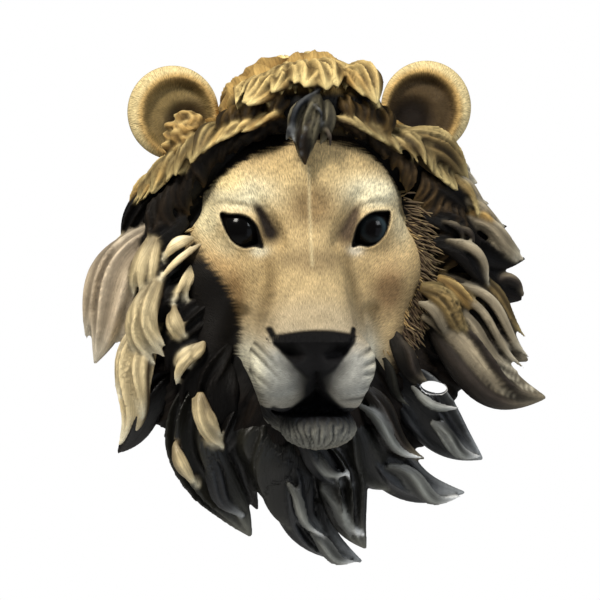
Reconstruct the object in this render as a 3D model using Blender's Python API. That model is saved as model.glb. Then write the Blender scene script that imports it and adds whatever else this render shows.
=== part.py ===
"""Lion head wall sculpture: one resin casting.

The head looks along -Y. Its flat back lies in the plane y = 0 against the wall,
and the origin is on that back. All figures below are millimetres of a head
400 mm tall; SCALE carries them to the wanted height.
"""
import math

import bmesh
import bpy
import numpy as np
from mathutils import Euler, Matrix, Vector

MM = 0.001
HEIGHT = 400.0
DRAWN_HEIGHT = 400.0
SCALE = HEIGHT / DRAWN_HEIGHT * MM

# Fineness of the form
JOINING_CELL = 2.3
SOFTENING = 0.5
SOFTENING_ROUNDS = 4
FACE_COUNT = 9600
FACE_SHARE = 0.8
FACE_ROUNDS = 8
FACE_WEIGHT = 0.25
FACE_REACH = 98.0
FACE_FRONT = -84.0
LOCK_SIDES = 24
LOCK_RINGS = 14
FLUTE_WIDTH = 14.0
FLUTE_CUT = 0.5
FLUTE_DRIFT = 0.9
WALL_PLANE = 0.0
BALL_AROUND = 28
BALL_ROWS = 16

# Way the locks face: how far the mane spreads sideways, backward and in height, about its middle
MANE_SPREAD = (150.0, -0.25, 170.0)
MANE_HEIGHT = 8.0

# Lion face
MIDLINE = 1.2
EYE_APART = 49.0
EYE_HEIGHT = 57.0
EYE_DEPTH = 95.0
EYE_SOCKET = (25.0, 20.0, 18.0)
EYE_TURN = -24.0
BROW_PAD = (27.0, 26.0, 13.0)
BROW_RISE = 24.0
EYE_SINK = 6.5
EYE_SOFT = 2.5
EYE_FRONT = -70.0
BRIDGE_TOP = 66.0
BRIDGE_START = 126.0
BRIDGE_ROOT = (44.0, 36.0, 36.0)
BRIDGE_ROOT_DEPTH = 88.0
BRIDGE_SWELL = 1.15
BRIDGE_RINGS = 9
BRIDGE_SIDES = 20
NOSE_TOP = -24.0
NOSE_BOTTOM = -51.0
NOSE_WIDTH = 58.0
NOSE_REACH = 184.0
NOSTRIL_APART = 21.0
NOSTRIL_HEIGHT = -34.0
NOSTRIL_SIZE = (7.0, 20.0, 4.0)
NOSTRIL_DEPTH = 7.0
MOUTH_HEIGHT = -76.0
MOUTH_WIDTH = 66.0
MOUTH_DEPTH = 11.0
MOUTH_SOFT = 3.0
MOUTH_FRONT = -92.0
CHIN_HEIGHT = -91.0

# Ears
EAR_APART = 99.0
EAR_HEIGHT = 148.5
EAR_RISE = 6.0
EAR_DEPTH = 60.0
EAR_RADIUS = 36.5
EAR_THICKNESS = 15.0
EAR_CUP = 16.0
EAR_CUP_SIZE = 19.0
EAR_CUP_REACH = 18.0
EAR_CUP_SHIFT = 6.0
EAR_LEAN = 8.0
EAR_FOOT = (27.0, 16.0, 24.0)
EAR_FOOT_DROP = 26.0

# Hood of hair around the forehead
HOOD_STEPS = 15
HOOD_TURN = 78.0
HOOD_REACH = 142.0
HOOD_DROP = 19.0
HOOD_EAR_DIP = 8.0
HOOD_SIDES = 16
HOOD_SIZE = 16.0
HOOD_TAPER = 0.55
HOOD_DEPTH = 66.0
HOOD_BULGE = 26.0
HOOD_MIDDLE = (6.0, 8.0)

# Crown of hair above the hood
CROWN_MIDDLE = 2.0
CROWN_BULK = (65.0, 54.0, 57.0)
CROWN_BULK_PLACE = (48.0, 140.0)
CROWN_FRONT = (60.0, 22.0, 18.0)
CROWN_FRONT_PLACE = (96.0, 152.0)

# Spine of hair that falls on the forehead from the parting
PARTING_START = (6.0, 158.0)
PARTING_END = (-4.0, 102.0)
PARTING_WIDTH = 20.0
PARTING_DEPTHS = (124.0, 132.0)


def clear():
    for ob in list(bpy.data.objects):
        bpy.data.objects.remove(ob, do_unlink=True)


def ball(bm, centre, radii, tilt=0.0, roll=0.0):
    """An ellipsoid; tilt nods it about X, roll turns it in the face plane."""
    turn = Euler((math.radians(tilt), math.radians(roll), 0.0)).to_matrix().to_4x4()
    place = Matrix.Translation(Vector(centre)) @ turn @ Matrix.Diagonal(Vector((*radii, 1.0)))
    bmesh.ops.create_uvsphere(bm, u_segments=BALL_AROUND, v_segments=BALL_ROWS, radius=1.0, matrix=place)


def pair(bm, centre, radii, tilt=0.0, roll=0.0):
    """The same ellipsoid on both sides of the face."""
    x, y, z = centre
    ball(bm, (MIDLINE + x, y, z), radii, tilt, roll)
    ball(bm, (MIDLINE - x, y, z), radii, tilt, -roll)


def skin(bm, rings):
    """A closed body over rings of equal count."""
    rows = [[bm.verts.new(p) for p in ring] for ring in rings]
    count = len(rows[0])
    for low, high in zip(rows, rows[1:]):
        for i in range(count):
            j = (i + 1) % count
            bm.faces.new((low[i], low[j], high[j], high[i]))
    bm.faces.new(rows[0][::-1])
    bm.faces.new(rows[-1])


def swell(t, full=0.40, root=0.62, tip=0.10):
    """Width of a lock along its length: a flame that fills, then draws to a point."""
    if t < full:
        return root + (1.0 - root) * math.sin(0.5 * math.pi * t / full)
    u = (t - full) / (1.0 - full)
    return tip + (1.0 - tip) * (1.0 - u ** 1.9)


def lock(bm, start, end, bow, width, depth_start, depth_end,
         sway=0.0, curl=0.0, arch=7.0, rise=0.0, thick=0.5, facing=0.45):
    """A lock of hair from start to end, both given as (x, z), bowed to one side."""
    a = Vector((start[0], start[1]))
    b = Vector((end[0], end[1]))
    run = b - a
    length = run.length
    side = Vector((-run.y, run.x)) / length
    path = []
    for k in range(LOCK_RINGS + 1):
        t = k / LOCK_RINGS
        turned = curl * (max(t - 0.6, 0.0) / 0.4) ** 2
        shift = length * (bow * math.sin(math.pi * t) + sway * math.sin(2.0 * math.pi * t) + turned)
        flat = a + run * t + side * shift
        depth = depth_start + (depth_end - depth_start) * t + arch * math.sin(math.pi * t)
        path.append(Vector((flat.x, -depth, flat.y + rise * math.sin(math.pi * t))))
    rings = []
    for k, point in enumerate(path):
        t = k / LOCK_RINGS
        along = path[min(k + 1, LOCK_RINGS)] - path[max(k - 1, 0)]
        along.normalize()
        out = Vector((point.x / MANE_SPREAD[0], MANE_SPREAD[1], (point.z - MANE_HEIGHT) / MANE_SPREAD[2]))
        out.normalize()
        out = (out * facing + Vector((0.0, -1.0, 0.0)) * (1.0 - facing)).normalized()
        across = along.cross(out).normalized()
        lift = across.cross(along).normalized()
        half = 0.5 * width * swell(t)
        high = max(thick * half * 1.5, 1.6)
        flutes = max(1, round(width / FLUTE_WIDTH))
        cut = FLUTE_CUT * math.sin(math.pi * min(0.05 + 0.9 * t, 1.0)) ** 0.5
        ring = []
        for i in range(LOCK_SIDES):
            turn = 2.0 * math.pi * i / LOCK_SIDES
            c, s = math.cos(turn), math.sin(turn)
            wave = abs(math.sin(0.5 * math.pi * flutes * c + FLUTE_DRIFT * (t - 0.5)))
            up = high * (1.15 - cut * wave) if s > 0.0 else 0.6 * high
            ring.append(point + across * (half * c) + lift * (up * math.copysign(abs(s) ** 1.1, s)))
        rings.append(ring)
    skin(bm, rings)


# Masses of the head as centre, radii and roll: the skull on the midline, and the paired cheeks
SKULL_MASSES = (
    ((0.0, -42.0, 62.0), (86.0, 74.0, 104.0), 0.0),
    ((0.0, -73.0, 90.0), (68.0, 49.0, 46.0), 0.0),
    ((0.0, -58.0, 12.0), (90.0, 58.0, 78.0), 0.0),
    ((0.0, -70.0, -26.0), (60.0, 56.0, 50.0), 0.0),
    ((0.0, -40.0, -62.0), (88.0, 56.0, 70.0), 0.0),
    ((1.0, -86.0, -74.0), (36.0, 50.0, 27.0), 0.0),
)
CHEEK_MASSES = (
    ((60.0, -64.0, 30.0), (38.0, 42.0, 44.0), 0.0),
    ((60.0, -56.0, -22.0), (32.0, 38.0, 44.0), 0.0),
)
# Whisker pads, muzzle and nose, with how far each centre lies behind the nose tip
PAD_MASSES = (
    ((25.0, 38.0, -48.0), (26.0, 34.0, 27.0), -3.0),
    ((31.0, 66.0, -56.0), (20.0, 34.0, 19.0), 0.0),
)
MUZZLE_MASSES = (
    ((0.0, 60.0, -42.0), (44.0, 50.0, 34.0)),
    ((0.0, 19.0, -30.0), (0.5 * NOSE_WIDTH, 19.0, 12.0)),
    ((0.0, 16.0, -41.0), (17.0, 16.0, 12.0)),
)
# Chin and throat, with how far each lies behind the nose tip and below the chin's height
CHIN_MASSES = (
    ((5.0, 50.0, 0.5), (29.5, 29.0, 16.0)),
    ((2.0, 82.0, 9.0), (34.0, 38.0, 18.0)),
)
# The nose bridge and its flanks: half width above and below, depth, set back, squareness
BRIDGES = (
    (23.0, 31.0, 30.0, 0.0, 0.72),
    (34.0, 41.0, 30.0, 9.0, 0.9),
)
# Bulk of the mane on both sides
MANE_MASSES = (
    ((0.0, 0.0, 4.0), (108.0, 82.0, 130.0)),
    ((0.0, -48.0, -4.0), (136.0, 28.0, 143.0)),
    ((0.0, -50.0, 112.0), (100.0, 50.0, 50.0)),
)
MANE_SIDE = ((70.0, -42.0, 16.0), (58.0, 42.0, 98.0))
CHEEK_RUFF = ((91.0, -58.0, 30.0), (18.0, 26.0, 46.0))


def head_forms(bm):
    """The masses of the head, skull to chin."""
    for centre, radii, roll in SKULL_MASSES:
        ball(bm, (MIDLINE + centre[0], centre[1], centre[2]), radii, roll=roll)
    for centre, radii, roll in CHEEK_MASSES:
        pair(bm, centre, radii, roll=roll)
    ball(bm, (MIDLINE, -BRIDGE_ROOT_DEPTH, BRIDGE_TOP - 2.0), BRIDGE_ROOT)
    pair(bm, (EYE_APART - 9.0, 5.0 - EYE_DEPTH, EYE_HEIGHT + BROW_RISE), BROW_PAD, roll=-5.0)
    pair(bm, (EYE_APART, -EYE_DEPTH, EYE_HEIGHT), EYE_SOCKET, roll=EYE_TURN)
    for (x, back, z), radii, roll in PAD_MASSES:
        pair(bm, (x, back - NOSE_REACH, z), radii, roll=roll)
    for (x, back, z), radii in MUZZLE_MASSES:
        ball(bm, (MIDLINE + x, back - NOSE_REACH, z), radii)
    for (x, back, drop), radii in CHIN_MASSES:
        ball(bm, (MIDLINE + x, back - NOSE_REACH, CHIN_HEIGHT - drop), radii)
    for half_top, half_low, deep, back, square in BRIDGES:
        bridge_form(bm, half_top, half_low, deep, back, square)


def bridge_form(bm, half_top, half_low, deep, back, square):
    """The long nose bridge from the brow down to the nose; square sets how flat its top is."""
    rings = []
    for k in range(BRIDGE_RINGS):
        t = k / (BRIDGE_RINGS - 1)
        y = back + deep - BRIDGE_START - (NOSE_REACH - BRIDGE_START - 2.0) * t ** BRIDGE_SWELL
        z = BRIDGE_TOP + (NOSE_TOP - BRIDGE_TOP) * t
        half = half_top + (half_low - half_top) * t
        ring = []
        for i in range(BRIDGE_SIDES):
            turn = 2.0 * math.pi * i / BRIDGE_SIDES
            c, s = math.cos(turn), math.sin(turn)
            ring.append((MIDLINE + half * math.copysign(abs(c) ** square, c),
                         y - deep * math.copysign(abs(s) ** square, s),
                         z))
        rings.append(ring)
    skin(bm, rings)


def mane_forms(bm):
    """The bulk under the locks, and the swept-up crown."""
    for centre, radii in MANE_MASSES:
        ball(bm, centre, radii)
    pair(bm, *MANE_SIDE)
    pair(bm, *CHEEK_RUFF)
    ball(bm, (CROWN_MIDDLE, -CROWN_BULK_PLACE[0], CROWN_BULK_PLACE[1]), CROWN_BULK)
    ball(bm, (0.0, -CROWN_FRONT_PLACE[0], CROWN_FRONT_PLACE[1]), CROWN_FRONT)
    rings = []
    for k in range(HOOD_STEPS):
        u = -1.0 + 2.0 * k / (HOOD_STEPS - 1)
        turn = math.radians(HOOD_TURN * u)
        size = HOOD_SIZE * (1.0 - HOOD_TAPER * u * u)
        out = Vector((math.sin(turn), 0.0, math.cos(turn)))
        reach = HOOD_REACH - HOOD_DROP * (1.0 - math.cos(turn)) - HOOD_EAR_DIP * math.sin(2.0 * turn) ** 2
        deep = HOOD_DEPTH + HOOD_BULGE * math.cos(turn)
        middle = out * reach + Vector((HOOD_MIDDLE[0], -deep, HOOD_MIDDLE[1]))
        ring = []
        for i in range(HOOD_SIDES):
            a = 2.0 * math.pi * i / HOOD_SIDES
            ring.append(middle + out * (size * math.cos(a)) + Vector((0.0, -1.25 * size * math.sin(a), 0.0)))
        rings.append(ring)
    skin(bm, rings)


def ear_forms(bm):
    for hand in (-1.0, 1.0):
        lean = EAR_LEAN * hand
        rise = EAR_RISE if hand > 0.0 else 0.0
        ball(bm, (hand * EAR_APART, -EAR_DEPTH, EAR_HEIGHT + rise),
             (EAR_RADIUS, EAR_THICKNESS, EAR_RADIUS), roll=lean)
        ball(bm, (hand * (EAR_APART - 3.0), 6.0 - EAR_DEPTH, EAR_HEIGHT - EAR_FOOT_DROP), EAR_FOOT,
             roll=lean)


# Locks that make the outline: start and end (x, z), bow, width, depths, sway, curl
OUTLINE_LOCKS = (
    ((-104, 60), (-163, -44), -0.095, 44, 66, 42, -0.04, 0.02),
    ((-114, 62), (-154, 16), -0.04, 24, 56, 40, 0.0, 0.0),
    ((-106, -8), (-138, -112), -0.07, 36, 70, 46, -0.06, -0.03),
    ((-96, -50), (-136, -120), -0.10, 34, 58, 40, -0.02, -0.06),
    ((-73, -50), (-38, -181), -0.16, 58, 64, 45, -0.03, 0.0),
    ((-46, -56), (-32, -160), -0.12, 36, 66, 50, 0.0, 0.0),
    ((-18, -81), (47, -204), -0.11, 46, 68, 42, 0.04, 0.03),
    ((12, -96), (52, -190), 0.01, 45, 80, 60, 0.04, 0.0),
    ((28, -78), (131, -151), -0.11, 43, 68, 45, 0.03, 0.03),
    ((60, -46), (147, -122), -0.01, 51, 64, 42, 0.03, 0.0),
    ((96, 0), (196, -75), -0.09, 54, 78, 48, 0.04, 0.02),
    ((106, 20), (184, -43), 0.01, 43, 74, 44, 0.04, 0.0),
    ((118, 34), (181, 8), -0.02, 35, 58, 38, 0.02, -0.02),
    ((108, 63), (181, 34), -0.05, 32, 64, 44, 0.03, 0.03),
    ((104, 83), (166, 60), -0.07, 27, 64, 46, 0.02, 0.03),
    ((96, 102), (151, 78), 0.0, 25, 64, 46, 0.02, 0.03),
    ((90, 112), (140, 92), 0.06, 24, 68, 50, 0.0, 0.03),
    ((-98, 92), (-138, 44), -0.10, 30, 62, 42, 0.0, 0.03),
    ((-100, 102), (-131, 72), -0.10, 26, 54, 42, 0.0, 0.0),
)

# Locks that lie over the mane and show as separate ridges
RIDGE_LOCKS = (
    ((-106, 50), (-128, 8), -0.12, 16, 86, 76, 0.0, 0.0),
    ((-82, 47), (-106, 20), -0.14, 14, 94, 88, 0.0, 0.0),
    ((-72, 28), (-97, 0), 0.08, 17, 92, 86, 0.0, 0.0),
    ((-108, 18), (-112, -60), -0.16, 30, 84, 76, -0.06, 0.0),
    ((-64, -24), (-97, -66), -0.13, 20, 88, 80, 0.03, 0.0),
    ((-90, -60), (-59, -112), -0.12, 19, 94, 84, 0.0, 0.0),
    ((-98, -106), (-80, -138), -0.10, 15, 80, 70, 0.0, 0.0),
    ((-62, 8), (-98, -34), -0.10, 26, 80, 72, 0.0, 0.0),
    ((-56, -28), (-74, -92), -0.14, 30, 84, 70, 0.0, 0.0),
    ((-58, -44), (-54, -100), -0.12, 34, 84, 74, 0.0, 0.0),
    ((-44, -64), (-62, -130), -0.12, 32, 82, 64, 0.0, 0.0),
    ((-30, -80), (-20, -148), -0.12, 30, 86, 62, 0.03, 0.0),
    ((-6, -98), (38, -136), -0.10, 22, 100, 82, 0.05, 0.0),
    ((-8, -112), (20, -178), -0.12, 26, 80, 60, 0.05, 0.0),
    ((32, -84), (72, -144), -0.12, 30, 90, 58, 0.05, 0.0),
    ((46, -62), (98, -120), -0.08, 25, 92, 62, 0.05, 0.0),
    ((66, -14), (104, -66), -0.10, 20, 88, 72, 0.03, 0.0),
    ((74, -26), (97, -58), -0.10, 16, 92, 82, 0.03, 0.0),
    ((90, 14), (130, -24), 0.08, 25, 94, 80, 0.05, 0.0),
    ((104, 22), (142, -2), -0.04, 17, 88, 76, 0.03, 0.0),
    ((100, 50), (147, 14), 0.12, 24, 88, 72, 0.03, 0.04),
    ((92, 70), (142, 42), 0.12, 24, 88, 64, 0.0, 0.04),
    ((90, 90), (132, 70), 0.12, 24, 90, 66, 0.0, 0.04),
    ((74, 128), (129, 96), 0.16, 28, 100, 64, 0.0, 0.04),
)

# Rows of locks hung between two lines: start line, end line, width, depths of the first and
# last start, of the first and last end, bow, arch, rise, thickness, slide along the line
ROWS = (
    # over the back of the crown, its top, and down to its jagged front edge
    (((-56, 138), (-22, 164), (8, 170), (36, 164), (62, 138)),
     ((-52, 168), (-32, 184), (-12, 191), (12, 194), (30, 187), (48, 172)),
     34, (6, 6), (62, 62), 0.0, 4, 8, 0.4, 0.0),
    (((-46, 164), (-28, 180), (-8, 187), (14, 189), (30, 182), (44, 166)),
     ((-60, 150), (-44, 149), (-26, 154), (-8, 161), (10, 159), (28, 164), (44, 159), (58, 147)),
     20, (46, 46), (129, 122), 0.04, 3, 9, 0.45, 0.0),
    (((-50, 156), (-32, 168), (-10, 176), (8, 174), (28, 176), (48, 162)),
     ((-60, 150), (-44, 149), (-26, 154), (-8, 161), (10, 159), (28, 164), (44, 159), (58, 147)),
     22, (98, 94), (133, 126), 0.08, 3, 3, 0.45, 0.0),
    # dark hair under that edge
    (((-6, 160), (-26, 157), (-52, 150)), ((-20, 142), (-42, 137), (-64, 130)),
     24, (104, 92), (118, 108), -0.10, 4, 0, 0.3, 0.0),
    (((18, 160), (38, 158), (60, 150)), ((28, 142), (46, 137), (68, 128)),
     24, (104, 92), (118, 108), 0.10, 4, 0, 0.3, 0.0),
    # behind the ridge and along it, left and right of the parting
    (((-56, 142), (-72, 124), (-88, 112), (-106, 100)), ((-76, 118), (-96, 100), (-120, 86), (-142, 62)),
     22, (84, 56), (110, 62), -0.16, 8, 0, 0.4, 0.1),
    (((-12, 144), (-36, 140), (-56, 134), (-76, 122), (-98, 102)),
     ((-24, 139), (-41, 133), (-60, 126), (-76, 117), (-95, 99), (-110, 89), (-140, 66)),
     17, (112, 62), (127, 70), -0.16, 6, 0, 0.45, 0.16),
    (((58, 142), (76, 126), (96, 112), (110, 102)), ((82, 114), (104, 98), (126, 84), (142, 62)),
     22, (84, 56), (108, 62), 0.16, 8, 0, 0.4, 0.1),
    (((14, 144), (36, 140), (58, 132), (80, 118), (100, 102)),
     ((24, 140), (41, 133), (60, 124), (80, 112), (104, 100), (122, 88), (140, 72)),
     17, (112, 62), (125, 72), 0.16, 6, 0, 0.45, 0.16),
    # falling back from the ridge into the hollow behind the brow
    (((-4, 146), (-30, 139), (-56, 129), (-78, 116), (-98, 96), (-120, 76)),
     ((-4, 133), (-24, 130), (-45, 121), (-72, 101), (-87, 70), (-100, 30)),
     34, (106, 70), (88, 66), -0.10, 2, 0, 0.2, 0.0),
    (((10, 146), (34, 139), (58, 127), (82, 111), (104, 96), (130, 68)),
     ((10, 134), (32, 132), (53, 122), (74, 100), (87, 70), (104, 20)),
     34, (106, 70), (88, 66), 0.10, 2, 0, 0.2, 0.0),
    # round the throat
    (((-41, -74), (-24, -90), (-2, -100), (21, -100), (41, -90), (54, -74)),
     ((-50, -130), (-25, -155), (6, -172), (36, -166), (69, -140), (98, -120)),
     38, (82, 80), (60, 56), -0.08, 6, 0, 0.45, 0.0),
)
ROW_COUNTS = (6, 9, 8, 3, 3, 6, 8, 6, 8, 6, 6, 7)

# Locks close to the wall: start and end reach, depths, width, sweep
WALL_ROWS = (
    (92.0, 140.0, 16.0, 28.0, 46.0, 12.0),
    (94.0, 134.0, 44.0, 42.0, 42.0, 14.0),
    (96.0, 140.0, 70.0, 56.0, 34.0, 16.0),
)
WALL_COUNTS = (14, 15, 14)
ROW_FIRST = 66.0
ROW_LAST = 296.0
ROW_PARTING = 150.0

# Almond of the eye opening, as shares of its half width and half height, outer corner first
EYE_ALMOND = (
    (1.0, 0.85), (0.6, 0.9), (0.1, 0.85), (-0.35, 0.65), (-0.65, 0.25), (-0.85, -0.3), (-1.0, -0.95),
    (-0.6, -0.9), (-0.1, -0.9), (0.4, -0.65), (0.75, -0.05),
)
EYE_OPENING = (17.5, 14.5)

# Lines that are cut into the face, x from the midline and z: inner brow, bridge side, jowl
BROW_LINE = ((23.0, 48.0), (27.0, 60.0), (33.0, 72.0), (41.0, 84.0))
SIDE_LINE = ((35.0, 43.0), (36.0, 12.0), (34.0, -4.0))
JOWL_LINE = ((51.0, -8.0), (57.0, -28.0), (56.0, -50.0), (46.0, -74.0))
# Width, depth and front limit of each cut
BROW_CUT = (5.5, 4.5, -85.0)
SIDE_CUT = (5.0, 2.5, -85.0)
JOWL_CUT = (7.0, 9.0, -60.0)
LIP_CUT = (3.5, 6.0, -130.0)
FACE_CUTS = ((BROW_LINE, BROW_CUT), (SIDE_LINE, SIDE_CUT), (JOWL_LINE, JOWL_CUT))
# The mouth, x as a share of its half width and z from its height
MOUTH_SHAPE = (
    (-1.0, 1.0), (-0.7, -2.0), (-0.2, 5.0), (0.05, 10.0), (0.3, 7.0), (0.9, -2.0),
    (1.0, 1.0), (0.85, -6.0), (0.0, -6.5), (-0.8, -6.0),
)

# The one gap seen right through, between two lower locks
GAP_PLACE = (105.5, -64.5)
GAP_DEPTH = 60.0
GAP_SIZE = (10.5, 5.2)
GAP_RUN = (0.141, 1.0, -0.035)
GAP_REACH = 75.0
GAP_LEAN = -10.0


def around(turn, reach):
    """A point in the face plane, at an angle clockwise from straight up."""
    angle = math.radians(turn)
    return (reach * math.sin(angle), MANE_HEIGHT + reach * math.cos(angle))


def on_line(line, share):
    """The point at a share of an open line's length."""
    points = [Vector(p) for p in line]
    steps = [(b - a).length for a, b in zip(points, points[1:])]
    left = min(max(share, 0.0), 1.0) * sum(steps)
    for a, b, step in zip(points, points[1:], steps):
        if left <= step:
            return a.lerp(b, left / step)
        left -= step
    return points[-1]


def wall_locks(bm):
    for count, row in zip(WALL_COUNTS, WALL_ROWS):
        count = int(count)
        reach_start, reach_end, depth_start, depth_end, width, sweep = row
        for k in range(count):
            turn = ROW_FIRST + (ROW_LAST - ROW_FIRST) * (k + 0.5) / count
            swing = sweep if turn < ROW_PARTING else -sweep
            bow = 0.08 if turn < ROW_PARTING else -0.08
            lock(bm, around(turn, reach_start), around(turn + swing, reach_end), bow, width,
                 depth_start, depth_end)


def row_locks(bm):
    for count, row in zip(ROW_COUNTS, ROWS):
        count = int(count)
        starts, ends, width, deep_start, deep_end, bow, arch, rise, thick, slide = row
        for k in range(count):
            share = (k + 0.5) / count
            start = on_line(starts, (1.0 - slide) * share)
            end = on_line(ends, (1.0 - slide) * share + slide)
            lock(bm, start, end, bow, width,
                 deep_start[0] + (deep_start[1] - deep_start[0]) * share,
                 deep_end[0] + (deep_end[1] - deep_end[0]) * share, arch=arch, rise=rise, thick=thick)


def mane_locks(bm):
    wall_locks(bm)
    row_locks(bm)
    for row in OUTLINE_LOCKS:
        lock(bm, *row)
    for row in RIDGE_LOCKS:
        lock(bm, *row)
    lock(bm, PARTING_START, PARTING_END, -0.10, PARTING_WIDTH, *PARTING_DEPTHS)


def to_object(bm, name):
    bmesh.ops.recalc_face_normals(bm, faces=bm.faces)
    mesh = bpy.data.meshes.new(name)
    bm.to_mesh(mesh)
    bm.free()
    ob = bpy.data.objects.new(name, mesh)
    bpy.context.scene.collection.objects.link(ob)
    return ob


def settle(ob, kind, **settings):
    """Adds one modifier and applies it."""
    change = ob.modifiers.new(kind, kind)
    for key, value in settings.items():
        setattr(change, key, value)
    bpy.context.view_layer.objects.active = ob
    ob.select_set(True)
    bpy.ops.object.modifier_apply(modifier=change.name)


def points_of(ob):
    flat = np.empty(len(ob.data.vertices) * 3, dtype=np.float32)
    ob.data.vertices.foreach_get("co", flat)
    return flat.reshape(-1, 3).astype(float)


def put_points(ob, points):
    ob.data.vertices.foreach_set("co", points.astype(np.float32).ravel())
    ob.data.update()


def press(points, centre, size, push):
    """Moves the points near a centre, most at the centre and fading out."""
    apart = (points - np.array(centre)) / np.array(size)
    near = np.exp(-np.sum(apart * apart, axis=1))
    points += near[:, None] * np.array(push)


def line_gap(flat, line):
    """Distance of each (x, z) point to a line."""
    best = np.full(len(flat), 1e9)
    for a, b in zip(line, line[1:]):
        a = np.array(a)
        b = np.array(b)
        run = b - a
        t = np.clip(((flat - a) @ run) / (run @ run), 0.0, 1.0)
        gap = flat - (a + t[:, None] * run)
        best = np.minimum(best, np.sum(gap * gap, axis=1))
    return np.sqrt(best)


def inside(flat, outline):
    """Whether each (x, z) point lies inside a closed outline."""
    within = np.zeros(len(flat), dtype=bool)
    for a, b in zip(outline, outline[1:] + outline[:1]):
        cross = (a[1] > flat[:, 1]) != (b[1] > flat[:, 1])
        rise = b[1] - a[1] if b[1] != a[1] else 1.0
        within ^= cross & (flat[:, 0] < (b[0] - a[0]) * (flat[:, 1] - a[1]) / rise + a[0])
    return within


def groove(points, line, width, depth, front):
    """Cuts a soft groove along a line in the face plane, for points before the front limit."""
    near = np.exp(-(line_gap(points[:, [0, 2]], line) / width) ** 2)
    near[points[:, 1] > front] = 0.0
    points[:, 1] += depth * near


def sink(points, outline, soft, depth, front):
    """Sets the skin inside a closed outline back by a depth, with a soft edge."""
    flat = points[:, [0, 2]]
    gap = line_gap(flat, outline + outline[:1])
    share = np.where(inside(flat, outline), 0.5 + 0.5 * gap / soft, 0.5 - 0.5 * gap / soft)
    share = np.clip(share, 0.0, 1.0)
    share[points[:, 1] > front] = 0.0
    points[:, 1] += depth * share


def sculpt(points):
    for hand in (-1.0, 1.0):
        for line, (width, depth, front) in FACE_CUTS:
            groove(points, [(MIDLINE + hand * x, z) for x, z in line], width, depth, front)
        eye = [(MIDLINE + hand * (EYE_APART + EYE_OPENING[0] * x), EYE_HEIGHT + EYE_OPENING[1] * z)
               for x, z in EYE_ALMOND]
        sink(points, eye, EYE_SOFT, EYE_SINK, EYE_FRONT)
        press(points, (MIDLINE + NOSTRIL_APART * hand, 8.0 - NOSE_REACH, NOSTRIL_HEIGHT), NOSTRIL_SIZE,
              (0.0, NOSTRIL_DEPTH, 0.0))
        rise = EAR_RISE if hand > 0.0 else 0.0
        cup = (hand * (EAR_APART - EAR_CUP_SHIFT), -EAR_DEPTH - 10.0, EAR_HEIGHT + rise - EAR_CUP_SHIFT)
        press(points, cup, (EAR_CUP_SIZE, EAR_CUP_REACH, EAR_CUP_SIZE), (0.0, EAR_CUP, 0.0))
    groove(points, ((MIDLINE, NOSE_BOTTOM), (MIDLINE + 2.0, MOUTH_HEIGHT + 6.0)), *LIP_CUT)
    half = 0.5 * MOUTH_WIDTH
    mouth = [(MIDLINE + 2.0 + half * x, MOUTH_HEIGHT + z) for x, z in MOUTH_SHAPE]
    sink(points, mouth, MOUTH_SOFT, MOUTH_DEPTH, MOUTH_FRONT)


def open_gap(ob):
    """Cuts the one gap that is seen right through."""
    bm = bmesh.new()
    place = Matrix.Translation((GAP_PLACE[0], -GAP_DEPTH, GAP_PLACE[1]))
    lean = Vector(GAP_RUN).to_track_quat("Y", "Z").to_matrix().to_4x4()
    lean = lean @ Matrix.Rotation(math.radians(GAP_LEAN), 4, "Y")
    size = Matrix.Diagonal((GAP_SIZE[0], GAP_REACH, GAP_SIZE[1], 1.0))
    bmesh.ops.create_cone(bm, cap_ends=True, segments=16, radius1=1.0, radius2=1.0, depth=2.0,
                          matrix=place @ lean @ size @ Matrix.Rotation(0.5 * math.pi, 4, "X"))
    cutter = to_object(bm, "gap_cutter")
    settle(ob, "BOOLEAN", operation="DIFFERENCE", solver="EXACT", object=cutter)
    bpy.data.objects.remove(cutter, do_unlink=True)


def flatten_back(ob):
    """Cuts the casting at the wall plane and closes the cut flat."""
    bm = bmesh.new()
    bm.from_mesh(ob.data)
    everything = bm.verts[:] + bm.edges[:] + bm.faces[:]
    cut = bmesh.ops.bisect_plane(bm, geom=everything, dist=1e-4, plane_co=(0.0, WALL_PLANE, 0.0),
                                 plane_no=(0.0, 1.0, 0.0), clear_outer=True)
    rim = [g for g in cut["geom_cut"] if isinstance(g, bmesh.types.BMEdge)]
    bmesh.ops.contextual_create(bm, geom=rim)
    bmesh.ops.recalc_face_normals(bm, faces=bm.faces)
    bm.to_mesh(ob.data)
    bm.free()


def painted_resin():
    paint = bpy.data.materials.new("painted_resin")
    paint.use_nodes = True
    shader = paint.node_tree.nodes["Principled BSDF"]
    shader.inputs["Base Color"].default_value = (0.36, 0.24, 0.12, 1.0)
    shader.inputs["Roughness"].default_value = 0.55
    return paint


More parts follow.
